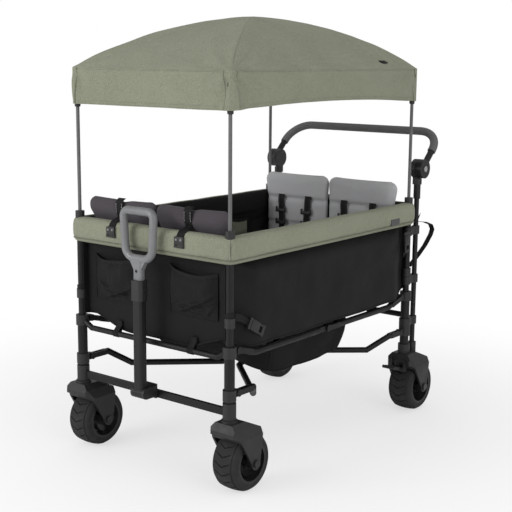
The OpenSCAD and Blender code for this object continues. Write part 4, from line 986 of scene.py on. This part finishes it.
def pad(name, width, height, thick, corner, voxel=0.006):
    """A stuffed pad in the XZ plane, its front towards -Y, centred on its own origin."""
    piece, rings = Piece(name), []
    w, h, t = (size - 2 * PAD_SWELL for size in (width, height, thick))
    for a in steps(9, -math.pi / 2, math.pi / 2):
        inset = 0.42 * t * (1 - math.cos(a))
        rings.append([Vector((x, t / 2 * math.sin(a), z))
                      for x, z in rounded_rect(w - 2 * inset, h - 2 * inset, max(corner - inset, 0.004))])
    piece.loft(rings)
    obj = piece.make([])
    swell(obj, voxel)
    for i, size in enumerate((width, thick, height)):
        low, high = (pick(v.co[i] for v in obj.data.vertices) for pick in (min, max))
        for v in obj.data.vertices:
            v.co[i] = (v.co[i] - (low + high) / 2) * size / (high - low)
    return obj


def twin(obj, name):
    copy = bpy.data.objects.new(name, obj.data.copy())
    bpy.context.scene.collection.objects.link(copy)
    return copy


def upholster(obj, finish):
    subdivide(obj)
    settle(obj)
    obj.data.shade_smooth()
    obj.data.materials.clear()
    obj.data.materials.append(finish)


def front_lean(z):
    return FRONT_LEAN * ramp(z, RIM_TOP - 0.01, RIM_TOP + 0.035)


def back_fold(y, z):
    """A back flattens against the wall behind it."""
    return fold(0.1, y, z)


def shape_back(obj, size, middle, flip, finish):
    """Sews two channels across a back, pulls its sides in, and sets it in its place."""
    width, height, thick = size
    channels = (height / 2 - 0.083, height / 2 - 0.168)
    for v in obj.data.vertices:
        x, y, z = v.co
        x *= 1 - 0.012 * (1 - (2 * z / height) ** 2)
        z *= 1 - 0.008 * (1 - (2 * x / width) ** 2)
        y *= 1 - 0.55 * sum(bell(z - c, 0.006) for c in channels)
        pucker = min(1.0, sum(bell(z - c, 0.02) for c in channels))
        y += 0.0008 * wave(x, y, z, 22) + 0.0006 * wave(x * 2.5, y, z, 60) * pucker
        y = max(-thick / 2, min(thick / 2, y))
        v.co = Vector((x, y * flip, z)) + middle
    upholster(obj, finish)


def seat_backs():
    """Stuffed backs with round tops, sewn across twice. They spread a little above the rim."""
    for end, finish, flip, corner in (("rear", GREY_CLOTH, 1.0, 0.026), ("front", CHARCOAL, -1.0, 0.022)):
        node = end + "_seat_backs"
        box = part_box(node)
        width = box[1].x - 0.001
        height, thick = box[1].z - box[0].z - 0.002, box[1].y - box[0].y - 0.002
        middle = (box[0] + box[1]) / 2
        wall_y = box[1].y if end == "rear" else box[0].y
        first = pad(end + "_seat_back_left", width, height, thick, corner)
        for obj, side in ((first, LEFT), (twin(first, end + "_seat_back_right"), RIGHT)):
            x = side * (box[1].x + SEAT_GAP) / 2
            shape_back(obj, (width, height, thick), Vector((x, middle.y, middle.z)), flip, finish)
            for v in obj.data.vertices:
                up = ramp(v.co.z, RIM_TOP - 0.03, RIM_TOP + 0.05)
                v.co.x += side * 0.007 * up * ramp(side * (v.co.x - x), 0, width / 2)
                if end == "front":
                    v.co.y -= front_lean(v.co.z)
                    v.co.z -= (0.005 + 0.005 * bell(v.co.x - x, 0.022)) * up
            place(obj, end + "_frame", (node,) if side == LEFT else (), back_fold(wall_y, middle.z))


def harness():
    """Shoulder straps of the rear seats, each with two sliders."""
    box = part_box("rear_seat_backs")
    face, top, apart, slider_out = box[0].y - 0.0012, box[1].z, 0.052, 0.0072
    for side, name in SIDES:
        straps = Piece("harness_straps_" + name)
        for k in (-1, 1):
            x = side * (box[1].x + SEAT_GAP) / 2 + k * apart
            line = []
            for h in steps(40):
                out = 0.0012 + 0.003 * (math.sin(math.pi * h) - bell(h, 0.06)) + 0.002 * wave(h * 3, k, side, 2)
                line.append((x + 0.003 * math.sin(5 * h + k), face - out, top - 0.072 - h * 0.19))
            straps.strap(line, X, 0.025, WEB_THICK)
            for edge in (-1, 1):
                straps.tube([(p[0] + edge * 0.009, p[1] - 0.001, p[2]) for p in line], 0.0004, 2, 4)
            for drop in (0.127, 0.168):
                centre = Vector((x, face - slider_out, top - drop))
                straps.block(centre, (0.040, 0.005, 0.0105), CLIP_EDGE, 1)
                for dx in (-0.0172, 0.0172):
                    straps.block(centre + Vector((dx, 0, 0.004)), (0.0056, 0.0056, 0.019), 0.0012, 1)
        place(straps.make([WEBBING, BLACK_PLASTIC, GREY_TRIM]), "rear_frame", (), back_fold(box[1].y, FOLD_Z))


def front_hangers():
    """Straps sewn to the front backs that hang over the rim, each with a hook clip and two studs."""
    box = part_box("front_seat_backs")
    top, lean = box[1].z, front_lean(box[1].z)
    # The strap's path, as places along Y and Z: over the back's top, down its face, and over the rim
    path = [(box[0].y - lean + 0.012, top - 0.0035), (box[0].y - lean + 0.004, top - 0.007)]
    path += [(box[0].y - front_lean(z) - 0.0012, z) for z in steps(7, top - 0.016, RIM_TOP + 0.009)]
    path += [(FRONT + y, RIM_TOP + z) for y, z in (
        (-0.002, 0.0045), (-0.010, 0.0015), (-0.017, -0.006), (-RIM_OUT - 0.0016, -0.013), (-RIM_OUT - 0.0034, -0.02))]
    stud = [(0.0034, 0), (0.0032, 0.001), (0.002, 0.0016), (0.0004, 0.0018)]
    for side, name in SIDES:
        x = side * (box[1].x + SEAT_GAP) / 2
        line = [Vector((x, y, z)) for y, z in path]
        piece = Piece("front_hanger_" + name)
        piece.strap(line, X, 0.027, WEB_THICK)
        for edge in (-0.0105, 0.0105):
            for a, b in zip(line[2:6], line[3:7]):
                piece.tube([a.lerp(b, t) + Vector((edge, -0.0013, 0)) for t in (0.1, 0.75)], 0.0006, 2, 4)
        clip = Vector((x, FRONT - RIM_OUT - 0.0062, RIM_TOP))
        piece.block(clip + Vector((0, 0, -0.023)), (0.031, 0.005, 0.022), CLIP_EDGE, 1)
        piece.block(clip + Vector((0, 0.0005, -0.039)), (0.034, 0.005, 0.006), CLIP_EDGE, 1)
        for dx in (-1, 1):
            piece.block(clip + Vector((dx * 0.0135, 0.0005, -0.036)), (0.006, 0.005, 0.010), CLIP_EDGE, 1)
            piece.lathe(clip + Vector((dx * 0.008, -0.0022, -0.02)), -Y, stud, 3, 14)
        place(piece.make([WEBBING, BLACK_PLASTIC, STITCH, GREY_PLASTIC]), "front_frame")


def cushions():
    """Seat cushions on the two floor boards, sewn across both ways."""
    boxes = {end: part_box(end + "_seat_cushion") for end in ("rear", "front")}
    sizes = {end: [high - low - 0.002 for low, high in zip(*box)] for end, box in boxes.items()}
    rear = pad("rear_cushion", *sizes["rear"], 0.03, 0.007)
    for obj, end, way in ((rear, "rear", 1), (twin(rear, "front_cushion"), "front", -1)):
        low, high = boxes[end]
        long, thick = sizes[end][1:]
        for v in obj.data.vertices:
            x, y, z = v.co
            y *= 1 - 0.3 * (bell(z, 0.007) + bell(x, 0.007))
            x *= 1 - 0.012 * (1 - (2 * z / long) ** 2)
            h = max(-thick / 2, min(thick / 2, y + 0.0008 * wave(x, y, z, 20)))
            v.co = (low + high) / 2 + Vector((x, way * z, h))
        upholster(obj, CHARCOAL)
        place(obj, end + "_floor", (end + "_seat_cushion",), fold(0.15, 0, low.z, Z))


# Straps and small hardware

def buckle(piece, centre, along, across, long):
    """A side-release buckle: body, two prongs, and a slotted bar at each end."""
    along, across = Vector(along).normalized(), Vector(across).normalized()
    axes = (across, along.cross(across), along)

    def bar(aside, ahead, size, edge):
        w, d, h = size
        at = Vector(centre) + across * aside + along * ahead * long
        piece.block(at, (w, d, h * long), edge, 1, axes)

    bar(0, 0, (0.03, 0.009, 0.026), 0.0018)
    for aside in (-0.011, 0.011):
        bar(aside, 0.018, (0.006, 0.006, 0.014), CLIP_EDGE)
    bar(0, 0.027, (0.03, 0.007, 0.008), CLIP_EDGE)
    bar(0, -0.017, (0.032, 0.006, 0.008), 0.0012)


def leg_straps():
    """Straps that hold the tub to the front legs, each with a buckle."""
    z, r, slope = TUB_LOW + 0.07, 0.0118, 0.58
    for side, name in SIDES:
        piece, x = Piece("leg_strap_front_" + name), side * LEG_X
        turn = [(x + r * math.cos(a), FRONT + r * math.sin(a), z + 0.002 * math.cos(a))
                for a in steps(29, 0, 2 * math.pi)]
        piece.strap(turn, Z, 0.022)
        tail = [(x + side * out, FRONT + back, z - drop) for out, back, drop in (
            (r, 0.008, 0), (0.0125, 0.028, 0.005), (0.0125, 0.046, 0.014), (0.0125, 0.064, 0.025))]
        piece.strap(tail, Z, 0.02)
        buckle(piece, (x + side * 0.0155, FRONT + 0.084, z - 0.037), (0, 1, -slope), (0, slope, 1), 1.35)
        place(piece.make([WEBBING, BLACK_PLASTIC]), "front_frame")


def corner_ties():
    """Straps from the handle posts round the rim's rear corners, each with a buckle on the long wall."""
    route = ((0, 0.034, 0.03), (0.004, 0.018, 0.016), (0.0045, -0.004, 0.001), (0.003, -0.024, -0.012),
             (-0.001, -0.036, -0.028), (-0.003, -0.04, -0.055), (-0.006, -0.038, -0.09))
    for side, name in SIDES:
        piece, x = Piece("corner_tie_" + name), side * (LEG_X + RIM_OUT)
        line = [(x + side * out, REAR + back, RIM_LOW + up) for out, back, up in route]
        piece.strap(line, (0, 1, 0.7), 0.024)
        buckle(piece, (x + side * 0.001, REAR - 0.039, RIM_LOW - 0.042), (0, 0.06, -1), (0, 1, 0.06), 1.25)
        place(piece.make([WEBBING, BLACK_PLASTIC]), "rear_frame")


def rim_patches():
    """Plain sewn patch near the rear end of each long rim."""
    low, tall, start_y, long = RIM_LOW + 0.013, 0.02, REAR - 0.138, 0.05
    for side, name in SIDES:
        def point(a, k):
            x = LEG_X + RIM_OUT + 0.0021 - 0.0009 * abs(2 * k - 1) ** 3
            return Vector((side * x, start_y + long * a, low + tall * k))

        patch("rim_patch_" + name, grid_of(steps(9), steps(6), point), GREY_TRIM, fold())


def pull_screw():
    """Screw head in the neck of the pull grip, above the collar."""
    r = 0.0042
    head = [(r, 0), (r, 0.0006), (r * 0.86, 0.0017), (r * 0.6, 0.0022), (r * 0.52, 0.0022), (r * 0.5, 0.0009),
            (0.0003, 0.0009)]
    piece, grip = Piece("pull_grip_screw"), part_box("pull_grip")
    middle = (grip[0].x + grip[1].x) / 2
    piece.lathe((middle, FRONT - 0.056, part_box("pull_collar")[1].z + 0.025), -Y, head, 0, 20)
    place(piece.make([BLACK_PLASTIC]), "pull_grip")


# Studio

# The camera's direction and roll in degrees, what it looks at, its distance in metres, and its lens in mm
CAMERA_AZIMUTH, CAMERA_ELEVATION, CAMERA_ROLL = 38.37, 10.5, 0.451
CAMERA_AIM, CAMERA_AWAY = Vector((0.0129, -0.0569, 0.5441)), 3.2404
LENS, SENSOR = 75.59, 36.0
# Each lamp's place, size and power
LAMPS = {"key": ((-1.4, -3.8, 1.9), 2.4, 78.0),
         "fill": ((3.8, -0.9, 1.9), 2.6, 46.0),
         "top": ((0.2, 0.2, 4.2), 3.0, 9.0)}
LAMP_AIM = Vector((0, MID, 0.55))
SKY_GREY = 0.56
FLOOR_HALF, FLOOR_Z = 14, -0.0005


def stand(name, data, at, towards):
    """An object at a place, turned with its -Z along a direction."""
    obj = bpy.data.objects.new(name, data)
    bpy.context.scene.collection.objects.link(obj)
    obj.location = at
    obj.rotation_mode = "QUATERNION"
    obj.rotation_quaternion = towards.to_track_quat("-Z", "Y")
    return obj


def camera():
    data = bpy.data.cameras.new("camera")
    a, e = math.radians(CAMERA_AZIMUTH), math.radians(CAMERA_ELEVATION)
    back = Vector((math.sin(a) * math.cos(e), -math.cos(a) * math.cos(e), math.sin(e)))
    cam = stand("camera", data, CAMERA_AIM + back * CAMERA_AWAY, -back)
    cam.rotation_quaternion = cam.rotation_quaternion @ Quaternion(Z, math.radians(CAMERA_ROLL))
    data.sensor_width, data.lens = SENSOR, LENS
    data.clip_start, data.clip_end = 0.05, 60.0
    bpy.context.scene.camera = cam


def pale_floor():
    """A white floor that keeps the shadow near the wagon and fades into the white behind it."""
    piece, ends = Piece("floor"), (-FLOOR_HALF, FLOOR_HALF)
    piece.grid([[Vector((x, y, FLOOR_Z)) for x in ends] for y in ends])
    mat, n, shader = start("pale floor")
    where = n.where()
    n.link(n.mix(n.noise(where, 0.6), rgb(0.93), rgb(0.96)), shader.inputs["Base Color"])
    set_inputs(shader, {"Roughness": 0.9, "Specular IOR Level": 0.1})
    blend = n.add("ShaderNodeMixShader")
    seen = n.add("ShaderNodeLightPath").outputs["Is Camera Ray"]
    fade = n.times(seen, n.span(n.vector("LENGTH", where), 0.5, 1.7, 0.62, 1.0))
    n.put(blend.inputs, (fade, shader.outputs[0], n.add("ShaderNodeEmission").outputs[0]))
    n.link(blend.outputs[0], mat.node_tree.nodes["Material Output"].inputs["Surface"])
    piece.make([mat])


def studio():
    scene = bpy.context.scene
    scene.view_settings.view_transform = "Standard"
    camera()
    pale_floor()
    scene.world = bpy.data.worlds.new("studio")
    scene.world.use_nodes = True
    n = Nodes(scene.world.node_tree)
    seen = n.add("ShaderNodeLightPath").outputs["Is Camera Ray"]
    n.link(n.mix(seen, rgb(SKY_GREY), rgb(1.0)), n.tree.nodes["Background"].inputs["Color"])
    for name, (at, size, power) in LAMPS.items():
        lamp = bpy.data.lights.new(name, "AREA")
        lamp.size, lamp.energy = size, power
        stand(name, lamp, at, LAMP_AIM - Vector(at))


studio()
dress()
canopy_rods()
canopy()
pole_ferrules()
rim()
for side, name in SIDES:
    tub_side(side, name)
tub_end(FRONT, 1, "front")
tub_end(REAR, -1, "rear")
front_ties()
pockets()
inner_pockets()
rear_bag()
basket()
seat_backs()
harness()
front_hangers()
cushions()
leg_straps()
corner_ties()
rim_patches()
pull_screw()
